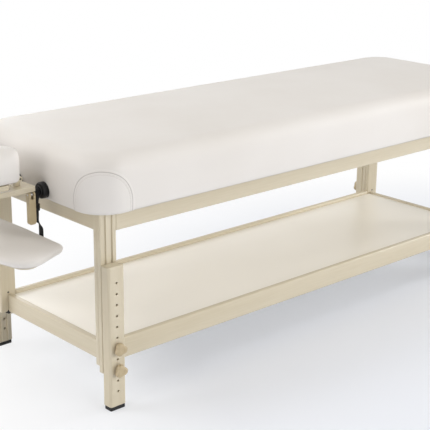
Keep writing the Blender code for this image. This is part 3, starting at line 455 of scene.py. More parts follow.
def softened(points):
    """Lets the foam be uneven: a few long waves across each face, and a dent round each sleeve's flange."""
    x, y, z = np.moveaxis(points, -1, 0)
    middle_z = cushion_middle[2]
    waves = sum(tall * np.sin(a * x + b * y + c * z + start) for a, b, c, start, tall in UNEVEN_WAVES)
    waves = 1 + waves / sum(wave[-1] for wave in UNEVEN_WAVES)
    top = np.clip((z - middle_z) / (cushion_high[2] - middle_z), 0, 1) ** UNEVEN_TOP_POWER
    moved = points.copy()
    moved[..., 2] -= UNEVEN * waves * top
    off = np.stack([x - cushion_middle[0], y - cushion_middle[1]], -1) / (half_long, half_wide)
    edge_share = (np.max(np.abs(off), -1) - UNEVEN_SIDE_START) / (1 - UNEVEN_SIDE_START)
    flank = np.clip(edge_share, 0, 1) * (1 - top)
    pressed = np.sign(off) * np.abs(off) ** UNEVEN_SIDE_POWER
    moved[..., :2] -= UNEVEN * pressed * (waves * flank)[..., None]
    for place in flange_places:
        rim = np.hypot(y - place[1], z - place[2]) - FLANGE_RADIUS
        dent = FLANGE_PRESS * np.exp(-((np.clip(rim, 0, None) / FLANGE_PRESS_WIDE) ** 2))
        moved[..., 0] += dent * (x < cushion_middle[0] - half_long + TOP_ROLL)
    return moved


def cover(station, run):
    """A point of the cover, from a station round the plan and a run up the flank."""
    inset = np.interp(run, profile_run, profile[:, 0])
    x, y = plan_point(station, inset)
    z = np.interp(run, profile_run, profile[:, 1])
    return softened(np.stack([x, y, z + np.zeros_like(x)], -1))


def top_cushion():
    """The whole cover as one grid: stations round the plan by rings up the flank. Past the rolled edge, and
    under the board, the rings close in on a spine along the middle, and the upper ones rise by the crown."""
    spans = []
    for k, run in enumerate(round_runs):
        step = HEAD_STEP if k in (0, len(round_runs) - 1) else ALONG_STEP
        count = CORNER_STEPS if k % 2 else math.ceil(run / step)
        spans.append(round_stations[k] + run * np.arange(count) / count)
    station = np.concatenate(spans)
    rings = cover(station[None, :], profile_run[:, None])

    def closing(rim, count, crown):
        """Rings from a rim to the spine, which rise by the crown less a parabola."""
        reach = half_long - half_wide
        spine = np.clip(rim[:, 0], cushion_middle[0] - reach, cushion_middle[0] + reach)
        share = np.linspace(0, 1, count + 1)[1:, None]
        x = rim[:, 0] * (1 - share) + spine * share
        y = rim[:, 1] * (1 - share) + cushion_middle[1] * share
        z = rim[:, 2].mean() + crown * (1 - (1 - share) ** 2) + 0 * x
        return np.stack([x, y, z], -1)

    flat_rim = np.stack([*plan_point(station, profile[-1, 0]), np.full(len(station), profile[-1, 1])], -1)
    above = softened(closing(flat_rim, TOP_RINGS, TOP_CROWN))
    below = closing(rings[0], UNDER_RINGS, 0)[::-1]
    points = np.concatenate([below, rings, above])
    # Painted shade: the cover darkens over its lowest few millimetres, where the contact shadow under the
    # cushion falls.
    seam = COVER_SHADE_DARK * np.clip(1 - (points[..., 2] - cushion_low[2]) / COVER_SHADE_HIGH, 0, 1).ravel()
    grid = sheet_of(points, "point")
    piece = make("top_cushion_cover", grid, vinyl_finish, "top_cushion", sharp=80, seam=seam)


vinyl_finish = vinyl()
top_cushion()

# Corner patches of the cushion: arched panels of the same vinyl, sewn to the cover by a seam that both
# sides swell round. A row of top stitching runs inside the seam, and the bottom of each panel is pulled
# under with the cover.
PATCH_RADIUS = 0.0937
PATCH_CENTRE_HIGH = 0.031
PATCH_SHIFT = 0.0095
PATCH_STEP = 0.0008
PATCH_RINGS = range(14, -13, -1)
PATCH_FRONT_RINGS = 17
PATCH_BACK_RINGS = 11
PATCH_SPREAD = 0.8
PATCH_BEHIND = -0.0016
PATCH_BOTTOM_RUN = 0.030
PATCH_SIDES = 240
SEAM_WIDE = 0.0008
SEAM_SWELL = (
    (-0.0100, -0.0010), (-0.0075, 0), (-0.0055, 0.0005), (-0.0035, 0.0010), (-0.0022, 0.0011),
    (-0.0011, 0.0008), (0, 0.0002), (0.0011, 0.0010), (0.0022, 0.0014), (0.0035, 0.0015), (0.0055, 0.0013),
    (0.0080, 0.0009), (0.0110, 0.0012),
)
PUCKER = 0.00022
PUCKERS = 44
PUCKER_INSET = 0.004
PUCKER_WIDE = 0.003
STITCH_INSET = 0.0080
STITCH_LIFT = 0.0009
STITCH_PITCH = 0.0040
STITCH_LONG = 0.0031
STITCH_THICK = 0.00085
STITCH_SIDES = 6
STITCH_RINGS = 5
VINYL_THREAD = (0.60, 0.55, 0.50, 1)


def thread(name, slot, colour):
    """Matt polyester thread, twisted from fine strands."""
    yarn = Finish(name, slot, IOR=1.5)
    twist = yarn.noise(2400, 1)
    return yarn.finish(
        Base_Color=yarn.between(twist, colour, tuple(0.8 * c for c in colour[:3]) + (1,)),
        Roughness=yarn.ranged(twist, 0.6, 0.8, 0, 1),
        Normal=yarn.bumped(twist, 0.0001),
    )


def stitches(starts, ends, outward):
    """One spindle of thread from each start to each end: a ring of points grows and shrinks along it by the
    square root of a parabola, and stands half out of the cloth."""
    along = ends - starts
    outward = unit(outward)
    across = unit(np.cross(along, outward))
    share = np.linspace(0, 1, STITCH_RINGS)[:, None, None]
    swell = np.sqrt(np.clip(4 * share * (1 - share), 0, None)) * STITCH_THICK / 2
    turn = turns(STITCH_SIDES)[:, None]
    spoke = across[:, None, None] * np.cos(turn) + outward[:, None, None] * np.sin(turn)
    rings = starts[:, None, None] + along[:, None, None] * share + swell * spoke
    one = np.arange(STITCH_RINGS * STITCH_SIDES).reshape(STITCH_RINGS, STITCH_SIDES)
    two = np.roll(one, -1, 1)
    quads = np.stack([one[:-1], two[:-1], two[1:], one[1:]], -1).reshape(-1, 4)
    faces = (np.arange(len(starts))[:, None, None] * one.size + quads).reshape(-1, 4).tolist()
    return rings.reshape(-1, 3), faces


def cover_normal(station, run):
    """Outward direction of the cover, from two short steps along it."""
    step = 0.001
    along = cover(station + step, run) - cover(station - step, run)
    up = cover(station, run + step) - cover(station, run - step)
    return unit(np.cross(along, up))


def patch_reach(turn, inset):
    """How far the panel's outline stands from its centre: a half circle above, straight legs and bottom
    below."""
    radius = PATCH_RADIUS - inset
    drop = patch_centre_run - PATCH_BOTTOM_RUN - inset / 2
    legs = radius / np.maximum(np.abs(np.cos(turn)), 1e-6)
    bottom = drop / np.maximum(-np.sin(turn), 1e-6)
    return np.where(np.sin(turn) >= 0, radius, np.minimum(legs, bottom))


def on_patch(place, x, y, lift):
    """Points in a panel's plan, lifted off the cover, and the cover's direction there. A panel's place is
    its station, and the way that its plan's x runs."""
    station, side = place
    around, run = station + side * (PATCH_SHIFT + x), patch_centre_run + y
    outward = cover_normal(around, run)
    return cover(around, run) + outward * lift, outward


def corner_patch(name, place):
    """A panel as a closed shell: rings open from its centre to the seam, cross the seam, sink into the
    cover, and close again behind. The seam field, the seam's dark fold with painted shade in its crease, is
    one on the seam line and fades out beside it."""
    turn = turns(PATCH_SIDES)
    insets = PATCH_STEP * np.array(PATCH_RINGS)[:, None]
    crossing = patch_reach(turn, insets)
    inside = np.linspace(0, 1, PATCH_FRONT_RINGS + 1)[:-1, None] ** PATCH_SPREAD * crossing[0]
    behind = np.linspace(1, 0, PATCH_BACK_RINGS + 1)[1:, None] * crossing[-1]
    reach = np.concatenate([inside, crossing, behind])
    depth = np.repeat(insets, [PATCH_FRONT_RINGS + 1, *[1] * (len(insets) - 2), PATCH_BACK_RINGS + 1], 0)
    lift = np.interp(depth, *np.transpose(SEAM_SWELL)) + 0 * turn
    lift += PUCKER * np.sin(PUCKERS * turn) * np.exp(-(((depth - PUCKER_INSET) / PUCKER_WIDE) ** 2))
    lift[-PATCH_BACK_RINGS:] = PATCH_BEHIND
    points, _ = on_patch(place, reach * np.cos(turn), reach * np.sin(turn), lift[..., None])
    # The seam's own dark fold, with painted shade in the crease beside it.
    seam = (np.exp(-((depth / SEAM_WIDE) ** 2)) + 0 * turn).ravel()
    piece = make(name, sheet_of(points, "point"), vinyl_finish, sharp=80, seam=seam)


def patch_stitching(name, place):
    """Even stitches on a row inside the seam, which runs up one leg, round the arch, and down the other."""
    leg = patch_centre_run - PATCH_BOTTOM_RUN
    inner = PATCH_RADIUS - STITCH_INSET
    length = 2 * leg + math.pi * inner
    starts = np.arange(0, length - STITCH_LONG, STITCH_PITCH)

    def on_row(way):
        """A place some way along the row."""
        arc = np.clip((way - leg) / inner, 0, math.pi)
        fall = np.clip(leg - way, 0, None) + np.clip(way - leg - math.pi * inner, 0, None)
        return on_patch(place, -inner * np.cos(arc), inner * np.sin(arc) - fall, STITCH_LIFT)

    first, outward = on_row(starts)
    last, _ = on_row(starts + STITCH_LONG)
    make(f"{name}_stitching", stitches(first, last, outward), thread_finish, sharp=80)


thread_finish = thread("thread", "vinyl", VINYL_THREAD)
patch_level = cushion_low[2] + PATCH_CENTRE_HIGH
patch_centre_run = np.interp(patch_level, profile[LIP_STEPS:, 1], profile_run[LIP_STEPS:])
for name, knot, side in (("head_near", 1, 1), ("foot_near", 3, -1), ("foot_far", 5, 1), ("head_far", 7, -1)):
    patch_place = (round_stations[knot] + quarter / 2, side)
    corner_patch(f"corner_patch_{name}", patch_place)
    patch_stitching(f"corner_patch_{name}", patch_place)

# The apron under the top: two long and two end rails of lacquered hardwood, butted between the posts and
# screwed. The deck board lies flush inside them and carries the cushion. All edges are eased and sprayed.
BOARD_EDGE = 0.0022
LAP = 0.0003
ARC_STEPS = 5
LACQUER_PALE = (0.635, 0.568, 0.430, 1)
LACQUER_DEEP = (0.585, 0.513, 0.370, 1)
AXES = "XYZ"
SIDES = (("near", "X"), ("far", "X"), ("head", "Y"), ("foot", "Y"))


def lacquer(along):
    """Satin cream lacquer over hardwood whose grain runs along one axis and shows as faint long pores."""
    coat = Finish(f"cream_lacquer_{along}", "cream_lacquer", IOR=1.5, Coat_Roughness=0.18)
    grain_place = coat.drawn_out(along, 0.04)
    grain = coat.noise(260, 4, grain_place, 0.4)
    bands = coat.noise(22, 2, grain_place)
    spray = coat.noise(900)
    tone = coat.ranged(bands * 0.6 + grain * 0.4, 0, 1, 0.38, 0.62)
    return coat.finish(
        Base_Color=coat.between(tone, LACQUER_PALE, LACQUER_DEEP),
        Roughness=coat.ranged(spray, 0.34, 0.44),
        Coat_Weight=coat.ranged(spray, 0.20, 0.32),
        Normal=coat.bumped(spray, 0.00005, 0.5, coat.bumped(grain, 0.00016, 0.5)),
    )


def soften(corners, radii, steps=ARC_STEPS):
    """A closed outline with round corners. Each corner becomes an arc that touches both sides, and a point
    just past each end of the arc, which keeps the straight sides flat when they are shaded."""
    corners = np.array(corners, float)
    radii = np.broadcast_to(np.array(radii, float), len(corners))[:, None]
    before = unit(corners - np.roll(corners, 1, 0))
    after = np.roll(before, -1, 0)
    bend = before[:, 0] * after[:, 1] - before[:, 1] * after[:, 0]
    turn = np.arctan2(bend, (before * after).sum(1))[:, None]
    reach = radii * np.tan(np.abs(turn) / 2)
    left = np.stack([-before[:, 1], before[:, 0]], 1) * np.sign(turn)
    centre = corners - before * reach + left * radii
    angle = turn * np.linspace(0, 1, steps + 1)
    spoke = -left[:, None] * radii[:, None]
    x = spoke[..., 0] * np.cos(angle) - spoke[..., 1] * np.sin(angle)
    y = spoke[..., 0] * np.sin(angle) + spoke[..., 1] * np.cos(angle)
    arcs = centre[:, None] + np.stack([x, y], -1)
    lead = corners - before * (reach + LAP)
    trail = corners + after * (reach + LAP)
    return np.concatenate([lead[:, None], arcs, trail[:, None]], 1).reshape(-1, 2)


def rounded(low, high, radii, steps=ARC_STEPS):
    """The outline of a rectangle with round corners."""
    corners = [(low[0], low[1]), (high[0], low[1]), (high[0], high[1]), (low[0], high[1])]
    return soften(corners, radii, steps)


def inward(outline):
    """For each point of a closed outline, the step that moves its two sides inwards by one."""
    side = unit(np.roll(outline, -1, 0) - outline)
    left = np.stack([-side[:, 1], side[:, 0]], 1)
    before = np.roll(left, 1, 0)
    step = (left + before) / (1 + (left * before).sum(1, keepdims=True))
    area = (outline[:, 0] * np.roll(outline[:, 1], -1) - np.roll(outline[:, 0], -1) * outline[:, 1]).sum()
    return step * np.sign(area)


def laid(flat, level, along):
    """Rings of points that are flat, each at its level, laid square to an axis."""
    level = np.broadcast_to(level[:, None, None], (*flat.shape[:2], 1))
    order = {"X": (2, 0, 1), "Y": (0, 2, 1), "Z": (0, 1, 2)}[along]
    return np.concatenate([flat, level], -1)[..., list(order)]


def slab(outline, low, high, rims, along="Z", steps=ARC_STEPS):
    """A board: an outline carried along an axis. It shrinks round a quarter circle at each of its ends."""
    rims = np.broadcast_to(np.array(rims, float), 2)
    turn = np.radians(np.linspace(0, 90, steps + 1))
    insets = [np.concatenate([[rim + LAP], rim * (1 - np.sin(turn)), [0]]) for rim in rims]
    rises = [np.concatenate([[0], rim * (1 - np.cos(turn)), [rim + LAP]]) for rim in rims]
    inset = np.concatenate([insets[0], insets[1][::-1]])
    level = np.concatenate([low + rises[0], (high - rises[1])[::-1]])
    return sheet_of(laid(outline + inward(outline) * inset[:, None, None], level, along))


def plank(node, along, edge=BOARD_EDGE):
    """A straight board with all its edges eased, in the box of a node."""
    low, high = box(node)
    k = AXES.index(along)
    outline = rounded(np.delete(low, k), np.delete(high, k), edge + 2 * LAP)
    return slab(outline, low[k], high[k], edge, along)


def lacquered_plank(name, node, along, edge=BOARD_EDGE, body="table_frame"):
    """A plank with its grain along it, as a piece that stands for its node."""
    make(name, plank(node, along, edge), lacquer_along[along], node, body=body)


lacquer_along = {axis: lacquer(axis) for axis in AXES}
for side, along in SIDES:
    lacquered_plank(f"apron_{side}", f"top_rail_{side}", along)
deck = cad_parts["deck_board"]
deck.data.materials.clear()
deck.data.materials.append(lacquer_along["X"][0])

# Four fixed posts, each of two layers of the same hardwood. The outer board has two grooves down its face,
# in which the leg's tongues run, and the inner board, which ends at the shelf, is glued behind it.
GROOVE_WIDE = 0.0075
GROOVE_DEEP = 0.004
GROOVE_OFFSET = 0.01125
GROOVE_ROUND = 0.0009
POST_END_ROUND = 0.0005
POST_ROUND = 0.0025
STUD_HOLE = 0.0035
NUT_HOLE = 0.0068
HOLE_SIDES = 24
CUT_PAST = 0.003
CORNERS = ((-1, "head_near"), (1, "head_far"), (-1, "foot_near"), (1, "foot_far"))


def turned(stations, place, along, sides=32, shape=None):
    """A turned form: each station is how far along the axis it lies and how far out. shape(turn) scales the
    radius."""
    stations = np.array(stations, float)
    turn = turns(sides)
    out = stations[:, 1, None] * (shape(turn) if shape else np.ones(sides))
    flat = np.stack([out * np.sin(turn), out * np.cos(turn)], -1)
    return laid(flat, stations[:, 0], along) + np.array(place, float)


def round_bar(place, along, start, end, radius, sides=HOLE_SIDES):
    """A plain round bar, from start to end along an axis through a place."""
    return sheet_of(turned([(start, radius), (end, radius)], place, along, sides))


def carved(surface, cut=(), join=(), keep=()):
    """A closed surface with others joined on, held inside others, and others cut away, by exact Booleans."""
    parts = (surface, *join, *keep, *cut)
    helpers = [added("helper", outward_mesh("helper", part)) for part in parts]
    operations = ["UNION"] * len(join) + ["INTERSECT"] * len(keep) + ["DIFFERENCE"] * len(cut)
    for helper, operation in zip(helpers[1:], operations):
        step = helpers[0].modifiers.new("step", "BOOLEAN")
        step.operation = operation
        step.object = helper
    bpy.context.view_layer.update()
    result = helpers[0].evaluated_get(bpy.context.evaluated_depsgraph_get()).to_mesh()
    points = point_values(result, "co")
    faces = [list(face.vertices) for face in result.polygons]
    helpers[0].to_mesh_clear()
    for helper in helpers:
        mesh = helper.data
        bpy.data.objects.remove(helper)
        bpy.data.meshes.remove(mesh)
    return points, faces


def point_values(mesh, key):
    """A vector of each point of a mesh."""
    values = np.zeros(len(mesh.vertices) * 3)
    mesh.vertices.foreach_get(key, values)
    return values.reshape(-1, 3)


def post(side_y, where):
    """The grooved board, and the plain one behind it, both bored for the two studs."""
    low, high = box(f"post_{where}")
    middle = (low + high) / 2
    half = (high[0] - low[0]) / 2
    thick = high[1] - low[1]
    face = thick / 2
    floor = face - GROOVE_DEEP
    start, end = GROOVE_OFFSET - GROOVE_WIDE / 2, GROOVE_OFFSET + GROOVE_WIDE / 2
    flank = [(start, face), (start, floor), (end, floor), (end, face), (half, face), (half, -face)]
    radii = [GROOVE_ROUND] * 4 + [POST_ROUND, POST_ROUND / 2]
    corners = flank + [(-x, y) for x, y in reversed(flank)]
    outline = soften(corners, radii + radii[::-1], 3) * (1, side_y) + middle[:2]
    upper, lower = (box(f"{level}_knob_{where}").mean(0)[2] for level in ("upper", "lower"))
    reach = thick + CUT_PAST

    def bored(board, y, *holes):
        """A board with holes drilled through it along y, each at its height and with its radius."""
        bits = [round_bar((middle[0], y, z), "Y", -reach, reach, radius) for z, radius in holes]
        return carved(board, bits)

    outer = slab(outline, low[2], high[2], POST_END_ROUND, steps=3)
    outer = bored(outer, middle[1], (upper, STUD_HOLE), (lower, STUD_HOLE))
    make(f"post_board_{where}", outer, lacquer_along["Z"], f"post_{where}")
    liner = f"post_liner_{where}"
    inner = plank(liner, "Z", POST_ROUND)
    inner = bored(inner, box(liner).mean(0)[1], (upper, STUD_HOLE), (lower, NUT_HOLE))
    make(f"post_inner_{where}", inner, lacquer_along["Z"], liner)


for side_y, where in CORNERS:
    post(side_y, where)

# Four leg extensions, which slide up and down the posts. Each is one thick board with well rounded outer
# corners, two tongues behind, and a row of drilled holes that the clamping studs pass through.
EXTENSION_ROUND = 0.0075
EXTENSION_INNER_ROUND = 0.0050
EXTENSION_TOP_ROUND = 0.0045
EXTENSION_LOW_ROUND = 0.002
TONGUE_CLEAR = 0.0003
TONGUE_ROUND = 0.0006
HOLE_PITCH = 0.033
HOLE_COUNT = 11
HOLE_TOP_MARGIN = 0.0495
HOLE_BREAK = 0.0006


def together(surfaces):
    """Several surfaces as one."""
    starts = np.cumsum([0] + [len(points) for points, _ in surfaces]).tolist()
    faces = [[start + i for i in face] for start, (_, some) in zip(starts, surfaces) for face in some]
    return np.concatenate([points for points, _ in surfaces]), faces


def facing(node, side_y):
    """Where a node's face on one side of the table lies, and the face behind it."""
    low, high = box(node)[:, 1]
    return (low, high) if side_y < 0 else (high, low)


def leg_extension(side_y, where):
    """The board with its tongues joined on and its holes cut through. Each hole widens at both mouths."""
    node = f"leg_extension_{where}"
    low, high = box(node)
    middle = (low[0] + high[0]) / 2
    half = (high[0] - low[0]) / 2
    outer, inner = facing(node, side_y)
    face = facing(f"post_{where}", side_y)[0] + side_y * TONGUE_CLEAR
    corners = [(middle - half, outer), (middle + half, outer), (middle + half, face), (middle - half, face)]
    outline = soften(corners, [EXTENSION_ROUND] * 2 + [EXTENSION_INNER_ROUND] * 2, 7)
    body = slab(outline, low[2], high[2], (EXTENSION_LOW_ROUND, EXTENSION_TOP_ROUND))
    ys = sorted((inner, face + side_y * EXTENSION_INNER_ROUND * 2))
    ends = (low[2] + EXTENSION_TOP_ROUND, high[2] - 2 * EXTENSION_TOP_ROUND)
    tongues = []
    for way in (-1, 1):
        edges = [GROOVE_OFFSET + k * (GROOVE_WIDE / 2 - TONGUE_CLEAR) for k in (-1, 1)]
        xs = sorted(middle + way * edge for edge in edges)
        tongues.append(slab(rounded(*zip(xs, ys), TONGUE_ROUND, 2), *ends, TONGUE_ROUND, steps=2))
    deep = abs(inner - outer)
    wide = STUD_HOLE + HOLE_BREAK + CUT_PAST
    bit = [(-CUT_PAST, wide), (HOLE_BREAK, STUD_HOLE)]
    bit += [(deep - along, radius) for along, radius in reversed(bit)]
    bit = [(-side_y * along, radius) for along, radius in bit]
    levels = high[2] - HOLE_TOP_MARGIN - np.arange(HOLE_COUNT) * HOLE_PITCH
    holes = [sheet_of(turned(bit, (middle, outer, z), "Y", HOLE_SIDES)) for z in levels]
    carving = carved(body, [together(holes)], tongues)
    make(f"extension_{where}", carving, lacquer_along["Z"], node, body=f"leg_{where}")


for side_y, where in CORNERS:
    leg_extension(side_y, where)

# Four rubber feet: square pads of black rubber with soft edges. Each is glued and screwed under an
# extension, so that the wood stands clear of the floor.
FOOT_ROUND = 0.004
FOOT_EDGE = 0.0018


def rubber():
    """Black rubber, dull and faintly mottled."""
    black = Finish("black_rubber", IOR=1.5, Specular_IOR_Level=0.35)
    mottle = black.noise(340, 4)
    return black.finish(
        Base_Color=black.between(mottle, (0.010, 0.010, 0.011, 1), (0.022, 0.021, 0.021, 1)),
        Roughness=black.ranged(mottle, 0.62, 0.80),
        Normal=black.bumped(mottle, 0.0002, 0.6),
    )


rubber_finish = rubber()
for _, where in CORNERS:
    low, high = box(f"foot_{where}")
    pad = slab(rounded(low, high, FOOT_ROUND), low[2], high[2], FOOT_EDGE)
    make(f"foot_pad_{where}", pad, rubber_finish, f"foot_{where}", body=f"leg_{where}")

# Eight clamping knobs of moulded tan plastic, three soft lobes on a narrow hub, each moulded round a
# threaded stud. Each is screwed in through the leg and draws its leg against its post.
KNOB_RADIUS = 0.0180
KNOB_LOBE = 0.16
KNOB_LOBES = 3
KNOB_LOBE_BLUNT = 0.12
KNOB_TURN = math.radians(225)
KNOB_HUB = 0.0082
KNOB_SIDES = 80
STUD_RADIUS = 0.0030
STUD_ROOT = 0.004
STUD_SIDES = 16
STUD_TIP = 0.75
THREAD_START = 0.006
THREAD_EASE = 0.001
THREAD_DEEP = 0.00035
THREAD_PITCH = 0.00125
THREAD_STEPS = 4
TAN = (0.53, 0.435, 0.275, 1)
TAN_DEEP = (0.44, 0.345, 0.205, 1)
DARK = (0.085, 0.083, 0.082, 1)
DARK_DEEP = (0.05, 0.05, 0.05, 1)


def moulded(name, pale, deep, roughness, shine=0.5):
    """Moulded plastic: fine spark texture from the mould, and slightly uneven colour."""
    plastic = Finish(name, IOR=1.49, Specular_IOR_Level=shine)
    spark = plastic.noise(1800)
    return plastic.finish(
        Base_Color=plastic.between(plastic.noise(60), pale, deep),
        Roughness=plastic.ranged(spark, roughness - 0.05, roughness + 0.06),
        Normal=plastic.bumped(spark, 0.00007, 0.6),
    )


def steel(slot, pale, deep, roughness, along):
    """Steel with the fine lines that drawing or turning leaves along one axis."""
    metal = Finish(f"{slot}_{along}", slot, IOR=2.5)
    lines = metal.noise(1400, 2, metal.drawn_out(along, 0.02))
    return metal.finish(
        Base_Color=metal.between(lines, pale, deep),
        Metallic=metal.ranged(lines, 1, 1, 0, 1),
        Roughness=metal.ranged(lines, roughness - 0.05, roughness + 0.08),
        Normal=metal.bumped(lines, 0.00004, 0.5),
    )


def lathed(middle, y, out, turn):
    """Points round a line along y through a middle: each at its y, its distance out and its turn."""
    return np.stack([middle[0] + out * np.sin(turn), y + 0 * out, middle[2] + out * np.cos(turn)], -1)


def knob_grip(node, middle, seat, face):
    """The knob from its seat on the leg to its face: turned, with its radius waved by the lobes. Each
    station of its section is a height over the leg, a radius, and how strongly the lobes show."""
    r = KNOB_RADIUS
    stations = np.array(
        [
            (0.0003, 0, 0), (0.0003, 0.0085, 0), (0.0009, 0.0092, 0), (0.0018, 0.0090, 0),
            (0.0038, KNOB_HUB, 0), (0.0048, KNOB_HUB + 0.0004, 0.15), (0.0054, 0.0105, 0.5),
            (0.0058, r - 0.0018, 0.9), (0.0064, r - 0.0007, 1), (0.0074, r, 1), (0.0105, r + 0.0002, 1),
            (0.0135, r - 0.0002, 1), (0.0155, r - 0.0009, 1), (0.0168, r - 0.0022, 1),
            (0.0176, r - 0.0042, 0.9), (0.01795, r - 0.0066, 0.6), (0.0180, 0.0072, 0.2),
            (0.01795, 0.0063, 0), (0.0173, 0.0060, 0), (0.0171, 0.0054, 0), (0.0173, 0.0035, 0),
            (0.0175, 0, 0),
        ]
    )
    stations[:, 0] *= (face - seat) / stations[:, 0].max()
    turn = turns(KNOB_SIDES)
    lobes = KNOB_LOBES * (turn - KNOB_TURN)
    wave = KNOB_LOBE * (np.cos(lobes) - KNOB_LOBE_BLUNT * np.cos(2 * lobes)) * stations[:, 2, None]
    grip = lathed(middle, seat + stations[:, 0, None], stations[:, 1, None] * (1 + wave), turn)
    make(f"{node}_grip", sheet_of(grip, "point"), tan_finish, node, body=node, sharp=60)


def knob_stud(node, middle, start, end):
    """A bar whose radius follows a helix of triangles, once the thread has begun, and shrinks at its tip."""
    long = abs(end - start)
    share = np.linspace(0, 1, int(long / THREAD_PITCH * THREAD_STEPS) + 1)[:, None]
    turn = turns(STUD_SIDES)
    phase = np.mod(share * long / THREAD_PITCH + turn / math.tau, 1)
    begun = np.clip((share * long - THREAD_START) / THREAD_EASE, 0, 1)
    tip = np.clip((1 - share) * long / THREAD_EASE, 0, 1)
    out = (STUD_RADIUS - THREAD_DEEP * np.abs(2 * phase - 1) * begun) * (STUD_TIP + (1 - STUD_TIP) * tip)
    stud = lathed(middle, start + (end - start) * share, out, turn)
    make(f"{node}_stud", sheet_of(stud), dark_steel, body=node, sharp=35)


tan_finish = moulded("tan_plastic", TAN, TAN_DEEP, 0.40)
dark_steel = steel("dark_steel", DARK, DARK_DEEP, 0.42, "Y")
for side_y, where in CORNERS:
    for level in ("upper", "lower"):
        knob = f"{level}_knob_{where}"
        middle = box(knob).mean(0)
        face, stud_end = facing(knob, side_y)
        seat = facing(f"leg_extension_{where}", side_y)[0]
        knob_grip(knob, middle, seat, face)
        knob_stud(knob, middle, seat + side_y * STUD_ROOT, stud_end)

# Four long sleeve nuts of blackened steel on the lower studs. Each bears on the outer board through a hole
# in the inner board, and shows as a dark hexagon on the post's inner face.
NUT_RADIUS = 0.0065
NUT_BORE = 0.0032
NUT_BREAK = 0.0007
NUT_SIDES = 48


def hexagon(turn):
    """Radius of a hexagon as a share of its corners' radius."""
    sixth = math.pi / 3
    return math.cos(sixth / 2) / np.cos(np.mod(turn, sixth) - sixth / 2)


for _, where in CORNERS:
    low, high = box(f"sleeve_nut_{where}")
    middle = (low + high) / 2
    half = (high[1] - low[1]) / 2
    rim = NUT_RADIUS - NUT_BREAK
    stations = [(-half, rim), (NUT_BREAK - half, NUT_RADIUS), (half - NUT_BREAK, NUT_RADIUS), (half, rim)]
    outside = turned(stations, middle, "Y", NUT_SIDES, hexagon)
    bore = turned([(half, NUT_BORE), (-half, NUT_BORE)], middle, "Y", NUT_SIDES)
    nut = sheet_of(np.concatenate([outside, bore]), "ring")
    make(f"long_nut_{where}", nut, dark_steel, f"sleeve_nut_{where}", sharp=30)

# The shelf: a laminated board that lies a little below the tops of four rails, which are butted between
# the posts. The long rails are rounded over like a bull nose, because towels and hands pass over them.
SHELF_SIDE_ROUND = 0.0045
SHELF_END_ROUND = 0.003
SHELF_BOARD_EDGE = 0.0008
LAMINATE_PALE = (0.935, 0.905, 0.84, 1)
LAMINATE_DEEP = (0.915, 0.88, 0.80, 1)


def laminate():
    """Pale melamine: a very fine stipple in the gloss, and a soft drift of tone."""
    face = Finish("shelf_laminate", IOR=1.5, Coat_Roughness=0.28)
    stipple = face.noise(1300)
    drift = face.noise(1.7)
    return face.finish(
        Base_Color=face.between(face.ranged(drift, 0, 1, 0.35, 0.65), LAMINATE_PALE, LAMINATE_DEEP),
        Roughness=face.ranged(stipple, 0.36, 0.46),
        Coat_Weight=face.ranged(drift, 0.35, 0.45),
        Normal=face.bumped(stipple, 0.00004, 0.6),
    )


for side, along in SIDES:
    edge = SHELF_SIDE_ROUND if along == "X" else SHELF_END_ROUND
    lacquered_plank(f"shelf_edge_{side}", f"shelf_rail_{side}", along, edge)
make("shelf_panel", plank("shelf_board", "Z", SHELF_BOARD_EDGE), laminate(), "shelf_board")

# Two flanged sleeves of black plastic in the head end of the top. They are pressed into bored holes, and
# their wide flanges, with a raised lip round the mouth, bear on the vinyl. The cradle's rods slide in them.
SLEEVE_RADIUS = 0.0135
SLEEVE_BORE = 0.0085
SLEEVE_CHAMFER = 0.001
SLEEVE_SIDES = 64
FLANGE_SEAT_DEEP = 0.0065
BLACK = (0.004, 0.004, 0.0045, 1)
BLACK_DEEP = (0.007, 0.007, 0.0075, 1)

black_finish = moulded("black_plastic", BLACK, BLACK_DEEP, 0.36, 0.3)
for flank in ("near", "far"):
    low, high = box(f"rod_sleeve_{flank}")
    deep = high[0] - low[0]
    seat = cushion_low[0] - low[0] + FLANGE_SEAT_DEEP
    rim = FLANGE_RADIUS
    stations = [
        (0.0005, SLEEVE_BORE), (0, SLEEVE_BORE + 0.0006), (0, 0.0132), (0.0006, 0.0140), (0.0022, 0.0144),
        (0.0030, 0.0150), (0.0034, rim - 0.0040), (0.0042, rim - 0.0022), (0.0060, rim - 0.0007),
        (0.0080, rim), (0.0105, rim), (0.0112, rim - 0.0006), (0.0119, rim - 0.0006), (0.0126, rim),
        (seat, rim), (seat, SLEEVE_RADIUS), (deep - SLEEVE_CHAMFER, SLEEVE_RADIUS),
        (deep, SLEEVE_RADIUS - SLEEVE_CHAMFER), (deep, SLEEVE_BORE),
    ]
    mouth = (low + high) / 2 - (deep / 2, 0, 0)
    sleeve = sheet_of(turned(stations, mouth, "X", SLEEVE_SIDES), "ring")
    make(f"flanged_sleeve_{flank}", sleeve, black_finish, f"rod_sleeve_{flank}", sharp=35)

# The cradle's carriage: two bright steel rods that slide in the sleeves, and a hardwood cross bar pressed
# on their ends. The rods' ends are chamfered.
ROD_RADIUS = 0.008
ROD_CHAMFER = 0.001
BRIGHT = (0.56, 0.56, 0.57, 1)
BRIGHT_DEEP = (0.46, 0.46, 0.475, 1)


def steel_bar(name, node, along, chamfer, finish, sides=48):
    """A round bar in the box of a node, with chamfered ends."""
    low, high = box(node)
    k = AXES.index(along)
    half = (high[k] - low[k]) / 2
    radius = min(high - low) / 2
    stations = [(-half, radius - chamfer), (chamfer - half, radius)]
    stations += [(-along_bar, reach) for along_bar, reach in reversed(stations)]
    bar = sheet_of(turned(stations, (low + high) / 2, along, sides))
    make(name, bar, finish, node, body="cradle", sharp=30)


